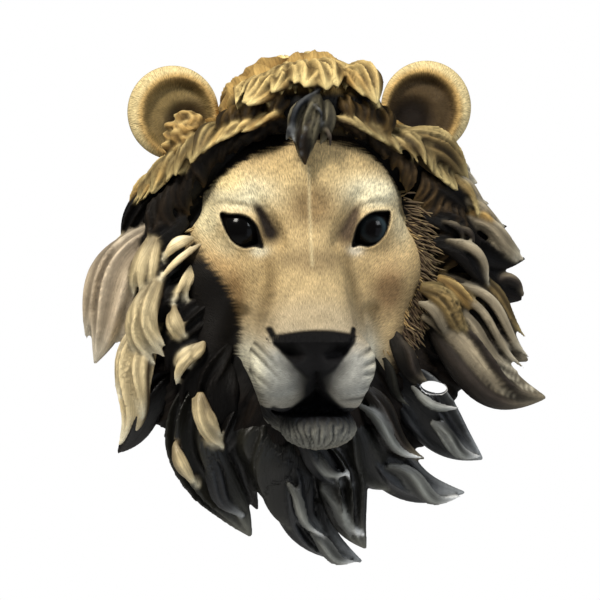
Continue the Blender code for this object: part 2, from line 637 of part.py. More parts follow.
def main():
    clear()
    bm = bmesh.new()
    head_forms(bm)
    mane_forms(bm)
    ear_forms(bm)
    mane_locks(bm)
    head = to_object(bm, "lion_head")
    settle(head, "REMESH", mode="VOXEL", voxel_size=JOINING_CELL, adaptivity=0.0)
    settle(head, "SMOOTH", factor=SOFTENING, iterations=int(SOFTENING_ROUNDS))
    mane = head.vertex_groups.new(name="mane")
    face = head.vertex_groups.new(name="face")
    for vertex in head.data.vertices:
        near_face = math.hypot(vertex.co.x, vertex.co.z) < FACE_REACH and vertex.co.y < FACE_FRONT
        mane.add([vertex.index], FACE_WEIGHT if near_face else 1.0, "REPLACE")
        face.add([vertex.index], 1.0 if near_face else 0.0, "REPLACE")
    settle(head, "SMOOTH", factor=SOFTENING, iterations=int(FACE_ROUNDS), vertex_group="face")
    points = points_of(head)
    sculpt(points)
    put_points(head, points)
    settle(head, "TRIANGULATE")
    share = FACE_COUNT / len(head.data.polygons)
    settle(head, "DECIMATE", ratio=share, vertex_group="mane", vertex_group_factor=FACE_SHARE)
    flatten_back(head)
    open_gap(head)
    head.vertex_groups.clear()
    head.data.transform(Matrix.Diagonal((SCALE, SCALE, SCALE, 1.0)))
    head.data.materials.append(painted_resin())
    print("triangles", sum(len(p.vertices) - 2 for p in head.data.polygons))


main()
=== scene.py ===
"""Lion head wall sculpture: the painted finish and fine carving of the one resin casting.

Lengths are millimetres, unless a comment says metres. The head is 400 mm tall and looks along -Y,
with its flat back on y = 0.
"""
import math

import bmesh
import bpy
import numpy as np
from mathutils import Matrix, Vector
from mathutils.kdtree import KDTree


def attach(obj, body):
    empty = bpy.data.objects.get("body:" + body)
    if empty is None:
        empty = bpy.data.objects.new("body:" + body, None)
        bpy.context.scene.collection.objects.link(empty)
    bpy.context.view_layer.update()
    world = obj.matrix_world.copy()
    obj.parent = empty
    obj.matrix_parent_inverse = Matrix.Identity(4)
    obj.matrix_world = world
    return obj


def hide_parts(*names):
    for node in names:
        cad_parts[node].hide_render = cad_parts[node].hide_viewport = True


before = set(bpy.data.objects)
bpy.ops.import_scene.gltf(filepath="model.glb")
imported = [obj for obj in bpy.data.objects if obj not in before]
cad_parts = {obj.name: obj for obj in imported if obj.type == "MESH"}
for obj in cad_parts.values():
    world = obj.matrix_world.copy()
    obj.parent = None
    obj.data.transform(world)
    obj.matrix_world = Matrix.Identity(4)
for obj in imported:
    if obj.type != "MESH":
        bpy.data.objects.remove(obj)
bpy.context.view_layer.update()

MM = 0.001
dice = np.random.default_rng(7)

# Masses of the head: centre, radii, roll in degrees, and whether both sides have one
MIDLINE = 1.2
HEAD_FORMS = (
    ((0.0, -42.0, 62.0), (86.0, 74.0, 104.0), 0.0, False),
    ((0.0, -73.0, 90.0), (68.0, 49.0, 46.0), 0.0, False),
    ((0.0, -88.0, 64.0), (44.0, 36.0, 36.0), 0.0, False),
    ((0.0, -58.0, 12.0), (90.0, 58.0, 78.0), 0.0, False),
    ((0.0, -70.0, -26.0), (60.0, 56.0, 50.0), 0.0, False),
    ((0.0, -40.0, -62.0), (88.0, 56.0, 70.0), 0.0, False),
    ((1.0, -86.0, -74.0), (36.0, 50.0, 27.0), 0.0, False),
    ((40.0, -90.0, 81.0), (27.0, 26.0, 13.0), -5.0, True),
    ((49.0, -95.0, 57.0), (25.0, 20.0, 18.0), -24.0, True),
    ((60.0, -64.0, 30.0), (38.0, 42.0, 44.0), 0.0, True),
    ((60.0, -56.0, -22.0), (32.0, 38.0, 44.0), 0.0, True),
    ((0.0, -124.0, -42.0), (44.0, 50.0, 34.0), 0.0, False),
    ((26.0, -146.0, -49.0), (28.0, 34.0, 28.0), -8.0, True),
    ((31.0, -118.0, -56.0), (20.0, 34.0, 19.0), 0.0, True),
    ((0.0, -163.0, -30.0), (29.0, 19.0, 12.0), 0.0, False),
    ((0.0, -166.0, -41.0), (17.0, 16.0, 12.0), 0.0, False),
    ((6.5, -134.0, -91.5), (27.5, 29.0, 16.0), 0.0, False),
)
# The nose bridge: heights of its top and foot, how deep it stands at the top and how much it
# gains over its run, its half width there and what that gains, its thickness and squareness
BRIDGE_TOP = 66.0
BRIDGE_FOOT = -24.0
BRIDGE_RUN = 88.0
BRIDGE_START = 126.0
BRIDGE_GAIN = 56.0
BRIDGE_CURVE = 1.15
BRIDGE_HALF = 24.0
BRIDGE_SPREAD = 9.0
BRIDGE_DEEP = 30.0
BRIDGE_POWER = 2.15
BRIDGE_RINGS = 9
BRIDGE_SIDES = 24
# The bridge itself and its flanks: how much wider and how far set back, at the brow and at the nose
BRIDGES = ((0.0, 0.0, 0.0, 0.0), (12.0, 2.0, 12.0, 28.0))
# Softening of the joins, the farthest mass that counts, the cell of the face's mesh, and the
# depth at which the face is cut off behind
BLEND = 4.0
FIELD_LIMIT = 40.0
FACE_CELL = 1.32
FACE_BACK = -36.0

# Almond outline of the left eye opening, x and z, from its outer corner over the lid
EYE_LEFT = (
    (-64.5, 69.5), (-58.0, 69.0), (-50.0, 68.5), (-43.0, 66.0), (-37.5, 60.0), (-34.5, 52.0),
    (-32.5, 43.5), (-39.0, 44.5), (-47.0, 43.5), (-55.0, 48.0), (-61.0, 57.0),
)
# The right one stands a little wider
EYE_RIGHT = (
    (65.5, 70.5), (60.0, 71.5), (51.5, 70.5), (44.5, 66.5), (39.5, 60.5), (37.0, 53.0),
    (35.5, 44.5), (41.5, 45.5), (48.5, 44.5), (56.5, 48.5), (62.5, 57.5),
)
# Each opening with the x of its middle, then the height, reach and depth that mark their place
EYE_OPENINGS = ((EYE_LEFT, -49.0), (EYE_RIGHT, 50.5))
EYE_HEIGHT = 58.0
EYE_REACH = 42.0
EYE_FRONT = -70.0
EYE_SUNK = 9.0
# Outline of the nose leather
NOSE_LEATHER = (
    (-29.5, -24.0), (-27.0, -22.0), (-12.0, -19.5), (1.0, -18.5), (14.0, -19.0), (29.0, -21.5),
    (31.5, -23.5), (27.0, -32.0), (19.0, -42.0), (8.0, -52.0), (1.5, -56.0), (-5.0, -52.0),
    (-17.0, -41.0), (-24.5, -32.0),
)
NOSE_FRONT = -140.0
# The slit of the right nostril, from the middle outwards
NOSTRIL = ((11.0, -37.0), (20.0, -34.0), (27.0, -28.0), (31.0, -18.0))


def deselect():
    for ob in bpy.context.selected_objects:
        ob.select_set(False)


def read(items, field, size, kind=np.float32):
    """One field of a mesh's points, corners or layer, a row for each."""
    flat = np.empty(len(items) * size, dtype=kind)
    items.foreach_get(field, flat)
    return flat.reshape(-1, size)


def points_of(ob):
    return read(ob.data.vertices, "co", 3).astype(float)


def put_points(ob, points):
    ob.data.vertices.foreach_set("co", points.astype(np.float32).ravel())
    ob.data.update()


def normals_of(ob):
    return read(ob.data.vertex_normals, "vector", 3).astype(float)


def corners_of(ob):
    """The point at each corner of the faces."""
    return read(ob.data.loops, "vertex_index", 1, np.int32).ravel()


def settle(ob, kind, **settings):
    """Adds one modifier and applies it."""
    change = ob.modifiers.new(kind, kind)
    for key, value in settings.items():
        setattr(change, key, value)
    bpy.context.view_layer.objects.active = ob
    ob.select_set(True)
    bpy.ops.object.modifier_apply(modifier=change.name)
    ob.select_set(False)


def both_sides(forms):
    """Every form once for each side it stands on."""
    for centre, radii, roll, twin in forms:
        yield (MIDLINE + centre[0], centre[1], centre[2]), radii, roll
        if twin:
            yield (MIDLINE - centre[0], centre[1], centre[2]), radii, -roll


def add_ball(centre, radii, roll, around=32, rows=20):
    bpy.ops.mesh.primitive_uv_sphere_add(segments=around, ring_count=rows, radius=1.0,
                                         location=centre, scale=radii,
                                         rotation=(0.0, math.radians(roll), 0.0))
    return bpy.context.active_object


def join(objects, name):
    deselect()
    for ob in objects:
        ob.select_set(True)
    bpy.context.view_layer.objects.active = objects[0]
    bpy.ops.object.join()
    ob = bpy.context.active_object
    bpy.ops.object.transform_apply(location=True, rotation=True, scale=True)
    ob.name = name
    ob.data.name = name
    ob.select_set(False)
    return ob


def tube_mesh(name, rings):
    """A closed body over rings of points of equal count."""
    rings = np.asarray(rings, dtype=float)
    count, sides = rings.shape[:2]
    verts = rings.reshape(-1, 3).tolist()
    faces = []
    for k in range(count - 1):
        for i in range(sides):
            j = (i + 1) % sides
            faces.append((k * sides + i, k * sides + j, (k + 1) * sides + j, (k + 1) * sides + i))
    faces.append(tuple(range(sides))[::-1])
    faces.append(tuple(range((count - 1) * sides, count * sides)))
    mesh = bpy.data.meshes.new(name)
    mesh.from_pydata(verts, [], faces)
    ob = bpy.data.objects.new(name, mesh)
    bpy.context.scene.collection.objects.link(ob)
    return ob


def bridge_share(z):
    """How far down its run a height of the bridge is, a little past both ends."""
    return np.clip((BRIDGE_TOP - z) / BRIDGE_RUN, -0.2, 1.1)


def bridge_front(z):
    """Depth of the nose bridge, brow to nose."""
    t = bridge_share(z)
    return -(BRIDGE_START + BRIDGE_GAIN * np.sign(t) * np.abs(t) ** BRIDGE_CURVE)


def bridge_half(z):
    return BRIDGE_HALF + BRIDGE_SPREAD * bridge_share(z)


def bridge_shape(z, bridge):
    """Half width and middle depth of one bridge form at a height."""
    t = np.clip((BRIDGE_TOP - z) / (BRIDGE_TOP - BRIDGE_FOOT), 0.0, 1.0)
    wide_top, wide_foot, back_top, back_foot = bridge
    half = bridge_half(z) + wide_top + (wide_foot - wide_top) * t
    return half, bridge_front(z) + BRIDGE_DEEP + back_top + (back_foot - back_top) * t


def bridge_seed(bridge):
    turn = np.linspace(0.0, 2.0 * math.pi, BRIDGE_SIDES, endpoint=False)
    c = np.cos(turn)
    s = np.sin(turn)
    rings = []
    for k in range(BRIDGE_RINGS):
        z = BRIDGE_TOP + (BRIDGE_FOOT - BRIDGE_TOP) * k / (BRIDGE_RINGS - 1)
        half, mid = bridge_shape(z, bridge)
        x = half * np.sign(c) * np.abs(c) ** (2.0 / BRIDGE_POWER)
        y = mid - BRIDGE_DEEP * np.sign(s) * np.abs(s) ** (2.0 / BRIDGE_POWER)
        rings.append(np.stack([x, y, np.full(BRIDGE_SIDES, z)], axis=1))
    return tube_mesh("bridge", rings)


def pull(reach):
    """How much a mass at this distance counts in the softened join."""
    return np.exp(-np.clip(reach, -FIELD_LIMIT, FIELD_LIMIT) / BLEND)


def head_field(points):
    """Signed distance, roughly, to the head's masses with their joins softened."""
    total = np.zeros(len(points))
    for centre, radii, roll in both_sides(HEAD_FORMS):
        turn = math.radians(roll)
        off = points - np.array(centre)
        x = off[:, 0] * math.cos(turn) - off[:, 2] * math.sin(turn)
        z = off[:, 0] * math.sin(turn) + off[:, 2] * math.cos(turn)
        q = np.stack([x, off[:, 1], z], axis=1) / np.array(radii)
        near = np.sqrt(np.sum(q * q, axis=1)) + 1e-9
        steep = np.sqrt(np.sum((q / np.array(radii)) ** 2, axis=1)) + 1e-9
        total += pull(near * (near - 1.0) / steep)
    z = points[:, 2]
    ends = np.maximum(z - BRIDGE_TOP, BRIDGE_FOOT - z)
    for bridge in BRIDGES:
        half, mid = bridge_shape(z, bridge)
        q = (np.abs(points[:, 0]) / half) ** BRIDGE_POWER
        q += (np.abs(points[:, 1] - mid) / BRIDGE_DEEP) ** BRIDGE_POWER
        total += pull(np.maximum((q ** (1.0 / BRIDGE_POWER) - 1.0) * 0.8 * half, ends))
    return -BLEND * np.log(total)


def soften_joins(points, rounds=4, step=0.3, longest=3.0):
    """Moves the points onto the softened surface, by no more than the longest move in a round."""
    for _ in range(rounds):
        value = head_field(points)
        slope = np.empty_like(points)
        for axis in range(3):
            shifted = points.copy()
            shifted[:, axis] += step
            slope[:, axis] = (head_field(shifted) - value) / step
        size = np.sum(slope * slope, axis=1) + 1e-6
        move = slope * (value / size)[:, None]
        length = np.sqrt(np.sum(move * move, axis=1)) + 1e-9
        move *= (np.minimum(length, longest) / length)[:, None]
        points -= move
    return points


def smooth_step(low, high, value):
    t = np.clip((value - low) / (high - low), 0.0, 1.0)
    return t * t * (3.0 - 2.0 * t)


def soft_ridge(gap, width, place=0.0):
    """1 at a place, falling off softly to both sides."""
    return np.exp(-((gap - place) / width) ** 2)


def rounded(outline, steps=6):
    """A closed curve through the outline's points."""
    pts = np.array(outline, dtype=float)
    count = len(pts)
    curve = []
    for i in range(count):
        a, b, c, d = pts[i - 1], pts[i], pts[(i + 1) % count], pts[(i + 2) % count]
        for k in range(steps):
            t = k / steps
            curve.append(0.5 * ((2.0 * b) + (c - a) * t + (2.0 * a - 5.0 * b + 4.0 * c - d) * t * t
                                + (3.0 * b - a - 3.0 * c + d) * t ** 3))
    return np.array(curve)


def line_gap(flat, line, closed=False):
    """Distance of each (x, z) point to a line, and how far along the line it is, 0 to 1."""
    line = np.asarray(line, dtype=float)
    if closed:
        line = np.vstack([line, line[:1]])
    run = line[1:] - line[:-1]
    long = np.sqrt(np.sum(run * run, axis=1))
    before = np.concatenate([[0.0], np.cumsum(long)])
    best = np.full(len(flat), 1e9)
    along = np.zeros(len(flat))
    for i in range(len(run)):
        t = np.clip(((flat - line[i]) @ run[i]) / (long[i] ** 2 + 1e-12), 0.0, 1.0)
        gap = flat - (line[i] + t[:, None] * run[i])
        d = np.sqrt(np.sum(gap * gap, axis=1))
        closer = d < best
        best[closer] = d[closer]
        along[closer] = ((before[i] + t * long[i]) / before[-1])[closer]
    return best, along


def inside_gap(flat, outline):
    """Distance to a closed outline, negative inside it."""
    curve = rounded(outline)
    gap, _ = line_gap(flat, curve, closed=True)
    inside = np.zeros(len(flat), dtype=bool)
    x, z = flat[:, 0], flat[:, 1]
    for a, b in zip(curve, np.roll(curve, -1, axis=0)):
        cross = (a[1] > z) != (b[1] > z)
        at = (b[0] - a[0]) * (z - a[1]) / (b[1] - a[1] + 1e-12) + a[0]
        inside ^= cross & (x < at)
    return np.where(inside, -gap, gap)


def region(points, front, middle, reach):
    """The points in front of a depth that are within reach of a middle in x and z."""
    x, y, z = points.T
    return (y < front) & (np.abs(x - middle[0]) < reach[0]) & (np.abs(z - middle[1]) < reach[1])


def handed(line, hand):
    """A line of the right side, or its mirror image for the left."""
    return [(hand * x, z) for x, z in line]


# Strokes that carve the face: line of x and z, width, height (minus cuts in), front limit in y
PAIRED_STROKES = (
    (((23, 48), (27, 60), (33, 72), (41, 84)), 5.5, -5.0, -85),
    (((30, 93), (46, 95), (60, 88)), 9.0, 1.5, -80),
    (((35, 43), (36, 30), (36, 12), (35, 2)), 7.0, -1.2, -85),
    (((44, 30), (56, 22), (70, 24)), 10.0, 2.5, -70),
    (((14, 98), (20, 84), (24, 70)), 8.0, 1.8, -95),
    (((46, -30), (41, -20), (36, -12)), 5.0, -2.0, -90),
    (((51, -8), (57, -28), (56, -50), (46, -74)), 7.0, -9.0, -60),
)
MIDDLE_STROKES = (
    (((1, 114), (1, 90), (1, 66)), 4.0, -1.8, -95),
    (((2, -52), (3, -60), (5, -70)), 2.6, -6.0, -140),
)
WHISKER_CREASES = (
    ((-48, -28), (-37, -41), (-25, -54)), ((-46, -22), (-37, -33), (-27, -45)),
    ((-49, -42), (-42, -52), (-32, -60)),
    ((53, -28), (43, -33), (33, -38)), ((53, -38), (44, -42), (35, -46)),
    ((52, -48), (44, -50), (36, -51)), ((50, -58), (43, -60), (36, -61)),
    ((46, -67), (34, -69), (22, -70)),
)
CREASE_WIDE = 1.7
CREASE_DEEP = 3.4
# Depths between which the creases die away round the side of the muzzle
CREASE_FADE = (-126.0, -146.0)
# The open mouth between the lips
MOUTH = (
    (-28, -76), (-23, -79), (-16, -78), (-8, -72), (0, -64), (4, -61), (9, -64), (17, -72), (26, -78),
    (36, -79), (42, -76), (37, -82), (20, -83), (5, -83), (-12, -83), (-24, -82),
)
MOUTH_DEEP = 17.0
# The beard's strands: the point they fan out from, in x and y, and how deep they are cut
BEARD_ROOT = (3.7, -127.0)
BEARD_CUT = 1.3
# The part of the face that is left pale, between the cheeks and the hairline painted dark as shade
PALE_FACE = (
    (-82, 72), (-80, 50), (-73, 34), (-60, 18), (-51, -1), (-46, -20), (-48, -36), (-43, -56), (-36, -70),
    (-24, -100), (5, -110), (30, -102), (38, -84), (48, -66), (56, -40), (58, -22), (67, -4), (76, 18),
    (86, 50), (84, 72), (70, 97), (48, 117), (26, 123), (0, 123), (-23, 119), (-39, 113), (-66, 95),
)


def beard_comb(points):
    """Combed strands of the beard: 1 on a strand, -1 between two."""
    swing = np.arctan2(points[:, 0] - BEARD_ROOT[0], -points[:, 1] + BEARD_ROOT[1])
    bend = 1.8 * np.sin(points[:, 2] * 0.19 + swing * 3.0)
    bend = bend + 1.2 * np.sin(points[:, 2] * 0.43 + swing * 9.0)
    wave = np.cos(swing * 38.0 + bend)
    return 0.8 * wave + 0.6 * np.cos(swing * 61.0 + 1.1 + points[:, 2] * 0.23 + 0.8 * bend)


def carve_strokes(points, flat, out):
    lift = np.zeros(len(points))
    strokes = [(*stroke, hand, MIDLINE) for stroke in PAIRED_STROKES for hand in (-1.0, 1.0)]
    strokes += [(*stroke, 1.0, 0.0) for stroke in MIDDLE_STROKES]
    for line, width, height, limit, hand, middle in strokes:
        gap, _ = line_gap(flat, [(middle + hand * x, z) for x, z in line])
        near = soft_ridge(gap, width)
        near[points[:, 1] > limit] = 0.0
        lift += height * near
    points += out * lift[:, None]


def carve_eyes(points, back):
    """Openings sunk behind a raised rim, with the crease of the lid above."""
    for outline, middle in EYE_OPENINGS:
        here = region(points, EYE_FRONT, (middle, EYE_HEIGHT), (EYE_REACH, EYE_REACH))
        gap = inside_gap(points[here][:, [0, 2]], outline)
        above = smooth_step(44.0, 66.0, points[here][:, 2])
        rim = soft_ridge(gap, 1.5, 1.5) * (0.6 + 1.1 * above)
        crease = soft_ridge(gap, 2.0, 7.5) * above * 1.6
        back[here] += smooth_step(0.6, -2.2, gap) * EYE_SUNK + crease - rim


def carve_creases(points, flat, back):
    """Whisker creases with a low swell beside each, dying away towards the nose."""
    for line in WHISKER_CREASES:
        gap, along = line_gap(flat, line)
        fade = (1.0 - np.clip(along, 0.0, 0.98)) ** 0.6
        near = (soft_ridge(gap, CREASE_WIDE) - 0.35 * soft_ridge(gap, 1.4, 3.4)) * fade
        back += CREASE_DEEP * near * smooth_step(*CREASE_FADE, points[:, 1])


def carve_nose(points, flat, back):
    """Nose leather a step proud of the muzzle, and the slits of the nostrils."""
    here = region(points, NOSE_FRONT, (0.0, -36.0), (44.0, 28.0))
    gap = inside_gap(points[here][:, [0, 2]], NOSE_LEATHER)
    back[here] -= smooth_step(1.2, -1.2, gap) * 1.6
    for hand in (-1.0, 1.0):
        gap, along = line_gap(flat, handed(NOSTRIL, hand))
        wide = 1.4 + 3.4 * soft_ridge(along, 0.28, 0.25)
        deep = 2.5 + 7.5 * soft_ridge(along, 0.3, 0.25)
        back += soft_ridge(gap, wide) * deep * (points[:, 1] <= NOSE_FRONT)


def carve_mouth(points, back):
    here = region(points, -92.0, (0.0, -78.0), (50.0, 20.0))
    gap = inside_gap(points[here][:, [0, 2]], MOUTH)
    back[here] += smooth_step(0.8, -3.0, gap) * MOUTH_DEEP


def carve_face(ob):
    points = points_of(ob)
    out = normals_of(ob)
    flat = points[:, [0, 2]]
    carve_strokes(points, flat, out)
    back = np.zeros(len(points))
    carve_eyes(points, back)
    carve_creases(points, flat, back)
    carve_nose(points, flat, back)
    carve_mouth(points, back)
    points[:, 1] += back
    # The beard is combed from the lower lip down
    low = smooth_step(-80.0, -92.0, points[:, 2]) * smooth_step(-96.0, -110.0, points[:, 1])
    points += out * (low * beard_comb(points) * BEARD_CUT)[:, None]
    put_points(ob, points)


def build_face():
    deselect()
    seeds = [add_ball(c, r, roll) for c, r, roll in both_sides(HEAD_FORMS)]
    seeds += [bridge_seed(bridge) for bridge in BRIDGES]
    ob = join(seeds, "face")
    settle(ob, "REMESH", mode="VOXEL", voxel_size=FACE_CELL, adaptivity=0.0)
    settle(ob, "SMOOTH", factor=0.5, iterations=3)
    put_points(ob, soften_joins(points_of(ob)))
    cut_back(ob, FACE_BACK)
    carve_face(ob)
    settle(ob, "SMOOTH", factor=0.5, iterations=1)
    return ob


def cut_back(ob, depth):
    """Cuts a piece off behind a depth and closes the cut flat."""
    bm = bmesh.new()
    bm.from_mesh(ob.data)
    everything = bm.verts[:] + bm.edges[:] + bm.faces[:]
    cut = bmesh.ops.bisect_plane(bm, geom=everything, dist=1e-4, plane_co=(0.0, depth, 0.0),
                                 plane_no=(0.0, 1.0, 0.0), clear_outer=True)
    rim = [g for g in cut["geom_cut"] if isinstance(g, bmesh.types.BMEdge)]
    bmesh.ops.contextual_create(bm, geom=rim)
    bmesh.ops.recalc_face_normals(bm, faces=bm.faces)
    bm.to_mesh(ob.data)
    bm.free()


# Paint of the mane: hollow, ridge and tip colours of each kind of lock. The black, fall, bark and hollow
# kinds are painted shade, near black where the mane lies in shadow; the sheen kind is a painted highlight.
PAINTS = {
    "gold": ("#3a270d", "#a98850", "#ead494"),
    "dull_gold": ("#20160b", "#8a744a", "#d6c187"),
    "hollow": ("#0c0804", "#33250f", "#6b5530"),
    "fall": ("#070503", "#22190f", "#46361f"),
    "bark": ("#0d0905", "#4a3922", "#84704a"),
    "lichen": ("#12100a", "#5a5442", "#b3aa8c"),
    "black": ("#040303", "#0c0907", "#1a140f"),
    "cream": ("#3a2a19", "#e4d0a2", "#fff7da"),
    "rose": ("#3a2c20", "#cdbba0", "#f3e9d2"),
    "taupe": ("#1d1812", "#a3957b", "#ded4ba"),
    "umber": ("#0c0a07", "#37302a", "#8c816b"),
    "olive": ("#040403", "#1f1e18", "#77776c"),
    "slate": ("#040405", "#25272a", "#a9acac"),
    "cheek": ("#0e0a07", "#46372a", "#96835f"),
    "tan": ("#4a3820", "#94794e", "#cdb482"),
    "fur": ("#7d6340", "#cbb07d", "#ecd9a9"),
    "painted_sheen": ("#121210", "#8c8d86", "#f2f2ef"),
    "beard": ("#1b1b1d", "#6f7376", "#b4b8b8"),
}
SPLIT_PAINTS = ("cream", "rose", "taupe")

# Locks at the outline: start and end (x, z), bow, width, depths, sway, curl, flutes, paint
OUTLINE_LOCKS = (
    ((-104, 60), (-162, -44), -0.095, 44, 66, 42, -0.04, 0.03, 3, "rose"),
    ((-114, 62), (-154, 18), -0.04, 24, 56, 40, 0.0, 0.0, 2, "cream"),
    ((-106, -8), (-137, -110), -0.07, 35, 72, 46, -0.06, -0.03, 2, "cream"),
    ((-96, -50), (-136, -119), -0.08, 32, 58, 40, -0.02, -0.08, 2, "black"),
    ((-73, -50), (-37, -181), -0.16, 58, 66, 45, -0.03, 0.0, 3, "olive"),
    ((-46, -56), (-32, -160), -0.12, 36, 68, 50, 0.0, 0.0, 2, "black"),
    ((-18, -81), (47, -204), -0.12, 48, 70, 42, 0.04, 0.03, 3, "slate"),
    ((12, -96), (52, -190), 0.01, 44, 82, 60, 0.04, 0.0, 3, "olive"),
    ((28, -78), (130, -151), -0.11, 43, 70, 45, 0.03, 0.03, 2, "slate"),
    ((60, -46), (147, -122), -0.01, 50, 66, 42, 0.03, 0.0, 3, "slate"),
    ((96, 0), (195, -75), -0.09, 54, 76, 48, 0.04, 0.02, 2, "umber"),
    ((92, -8), (186, -68), -0.05, 19, 90, 54, 0.05, 0.02, 1, "taupe"),
    ((106, 20), (183, -44), 0.01, 42, 74, 44, 0.04, 0.0, 4, "umber"),
    ((116, 16), (182, -42), 0.10, 11, 84, 56, 0.05, 0.0, 1, "taupe"),
    ((110, 10), (178, -50), 0.06, 10, 88, 58, 0.05, 0.0, 1, "taupe"),
    ((104, 2), (172, -52), 0.02, 10, 90, 60, 0.05, 0.0, 1, "taupe"),
    ((126, 24), (180, -26), 0.10, 11, 72, 50, 0.04, 0.0, 1, "dull_gold"),
    ((118, 34), (180, 6), -0.02, 33, 58, 38, 0.02, -0.03, 2, "black"),
    ((150, 20), (181, 10), 0.16, 12, 50, 42, 0.0, -0.1, 1, "umber"),
    ((108, 63), (180, 34), -0.05, 31, 62, 42, 0.03, 0.04, 3, "black"),
    ((124, 66), (180, 35), 0.10, 15, 70, 46, 0.04, 0.0, 2, "taupe"),
    ((128, 72), (160, 54), 0.14, 11, 68, 54, 0.04, 0.0, 1, "gold"),
    ((104, 83), (165, 60), -0.07, 26, 64, 46, 0.02, 0.04, 3, "black"),
    ((120, 84), (164, 61), 0.06, 13, 72, 50, 0.04, 0.0, 1, "taupe"),
    ((96, 102), (150, 78), 0.0, 25, 66, 48, 0.03, 0.04, 2, "umber"),
    ((112, 98), (149, 79), 0.08, 12, 74, 52, 0.04, 0.0, 1, "taupe"),
    ((90, 112), (141, 94), 0.06, 24, 68, 50, 0.0, 0.04, 2, "taupe"),
    ((-98, 92), (-138, 44), -0.10, 30, 62, 42, 0.0, 0.03, 3, "black"),
    ((-100, 102), (-132, 72), -0.10, 26, 54, 42, 0.0, 0.0, 3, "gold"),
)

# Locks lying over the mane: start, end, bow, width, depths, sway, curl, flutes, paint
RIDGE_LOCKS = (
    ((-84, 51), (-107, 34), -0.16, 12, 94, 88, 0.0, 0.0, 1, "cream"),
    ((-78, 47), (-112, 16), -0.06, 8, 96, 86, 0.0, 0.0, 1, "cream"),
    ((-79, -66), (-60, -109), -0.12, 17, 96, 84, 0.0, 0.0, 2, "cream"),
    ((-84, -70), (-66, -104), -0.10, 10, 94, 84, 0.0, 0.0, 1, "cream"),
    ((-98, -106), (-80, -138), -0.10, 13, 80, 70, 0.0, 0.0, 1, "cream"),
    ((-62, 8), (-98, -34), -0.10, 26, 80, 72, 0.0, 0.0, 2, "black"),
    ((-56, -28), (-74, -92), -0.14, 30, 84, 70, 0.0, 0.0, 2, "black"),
    ((-88, 66), (-126, 24), -0.12, 28, 78, 66, 0.0, 0.0, 3, "black"),
    ((-44, -64), (-62, -130), -0.12, 32, 82, 64, 0.0, 0.0, 2, "black"),
    ((-58, -44), (-54, -100), -0.12, 34, 84, 74, 0.0, 0.0, 2, "black"),
    ((-114, 34), (-136, -30), -0.14, 28, 60, 54, 0.0, 0.0, 2, "black"),
    ((-30, -80), (-20, -148), -0.12, 30, 86, 62, 0.03, 0.0, 2, "olive"),
    ((-6, -98), (38, -136), -0.10, 22, 100, 82, 0.05, 0.0, 1, "slate"),
    ((-8, -112), (20, -178), -0.12, 26, 80, 60, 0.05, 0.0, 2, "slate"),
    ((32, -84), (72, -144), -0.12, 30, 90, 58, 0.05, 0.0, 1, "olive"),
    ((46, -62), (98, -120), -0.08, 24, 92, 62, 0.05, 0.0, 1, "umber"),
    ((66, -14), (104, -66), -0.10, 20, 88, 72, 0.03, 0.0, 2, "umber"),
    ((90, 14), (130, -24), 0.08, 24, 94, 80, 0.05, 0.0, 4, "dull_gold"),
    ((88, 2), (116, -24), 0.04, 11, 96, 84, 0.05, 0.0, 2, "taupe"),
    ((104, 22), (142, -2), -0.04, 17, 88, 76, 0.03, 0.0, 2, "gold"),
    ((100, 50), (147, 14), 0.12, 24, 86, 70, 0.03, 0.04, 2, "black"),
    ((112, 50), (146, 16), 0.20, 11, 92, 74, 0.0, 0.0, 1, "taupe"),
    ((108, 64), (124, 50), 0.20, 8, 92, 84, 0.0, 0.0, 1, "umber"),
    ((120, 60), (134, 46), 0.20, 7, 88, 80, 0.0, 0.0, 1, "umber"),
    ((74, -26), (97, -58), -0.10, 15, 92, 82, 0.03, 0.0, 1, "umber"),
    ((92, 70), (142, 42), 0.12, 24, 86, 62, 0.0, 0.04, 2, "black"),
    ((90, 90), (132, 70), 0.12, 24, 88, 64, 0.0, 0.04, 2, "black"),
    ((74, 130), (130, 96), 0.16, 28, 100, 64, 0.0, 0.05, 5, "dull_gold"),
    ((94, -26), (172, -72), 0.02, 30, 68, 48, 0.05, 0.0, 2, "black"),
    ((128, -44), (160, -68), -0.06, 9, 78, 62, 0.04, 0.0, 1, "umber"),
    ((70, -34), (88, -62), 0.10, 8, 92, 78, 0.04, 0.0, 1, "umber"),
    ((62, -40), (84, -78), -0.10, 10, 92, 76, 0.04, 0.0, 1, "olive"),
    # thin pale locks along the lower lobes: a painted highlight standing for their sheen
    ((42, -76), (95, -118), -0.08, 12, 96, 84, 0.06, 0.0, 1, "painted_sheen", 7.0, 0.3),
    ((66, -124), (127, -150), -0.10, 17, 82, 52, 0.08, 0.0, 2, "painted_sheen", 7.0, 0.3),
    ((14, -140), (50, -178), -0.08, 12, 88, 70, 0.06, 0.0, 1, "painted_sheen", 7.0, 0.3),
    ((-12, -136), (18, -178), -0.10, 11, 88, 72, 0.06, 0.0, 1, "painted_sheen", 7.0, 0.3),
    ((2, -110), (36, -128), -0.16, 12, 102, 94, 0.06, 0.0, 1, "painted_sheen", 7.0, 0.3),
    ((100, -90), (144, -119), -0.10, 15, 82, 52, 0.05, 0.0, 2, "painted_sheen", 7.0, 0.3),
    ((84, -62), (124, -80), -0.16, 10, 88, 72, 0.0, 0.0, 1, "painted_sheen", 7.0, 0.3),
    ((-76, -112), (-42, -164), -0.12, 16, 84, 62, 0.05, 0.0, 2, "slate", 7.0, 0.3),
    ((8, -176), (45, -201), -0.12, 14, 72, 50, 0.05, 0.0, 2, "painted_sheen", 7.0, 0.3),
)

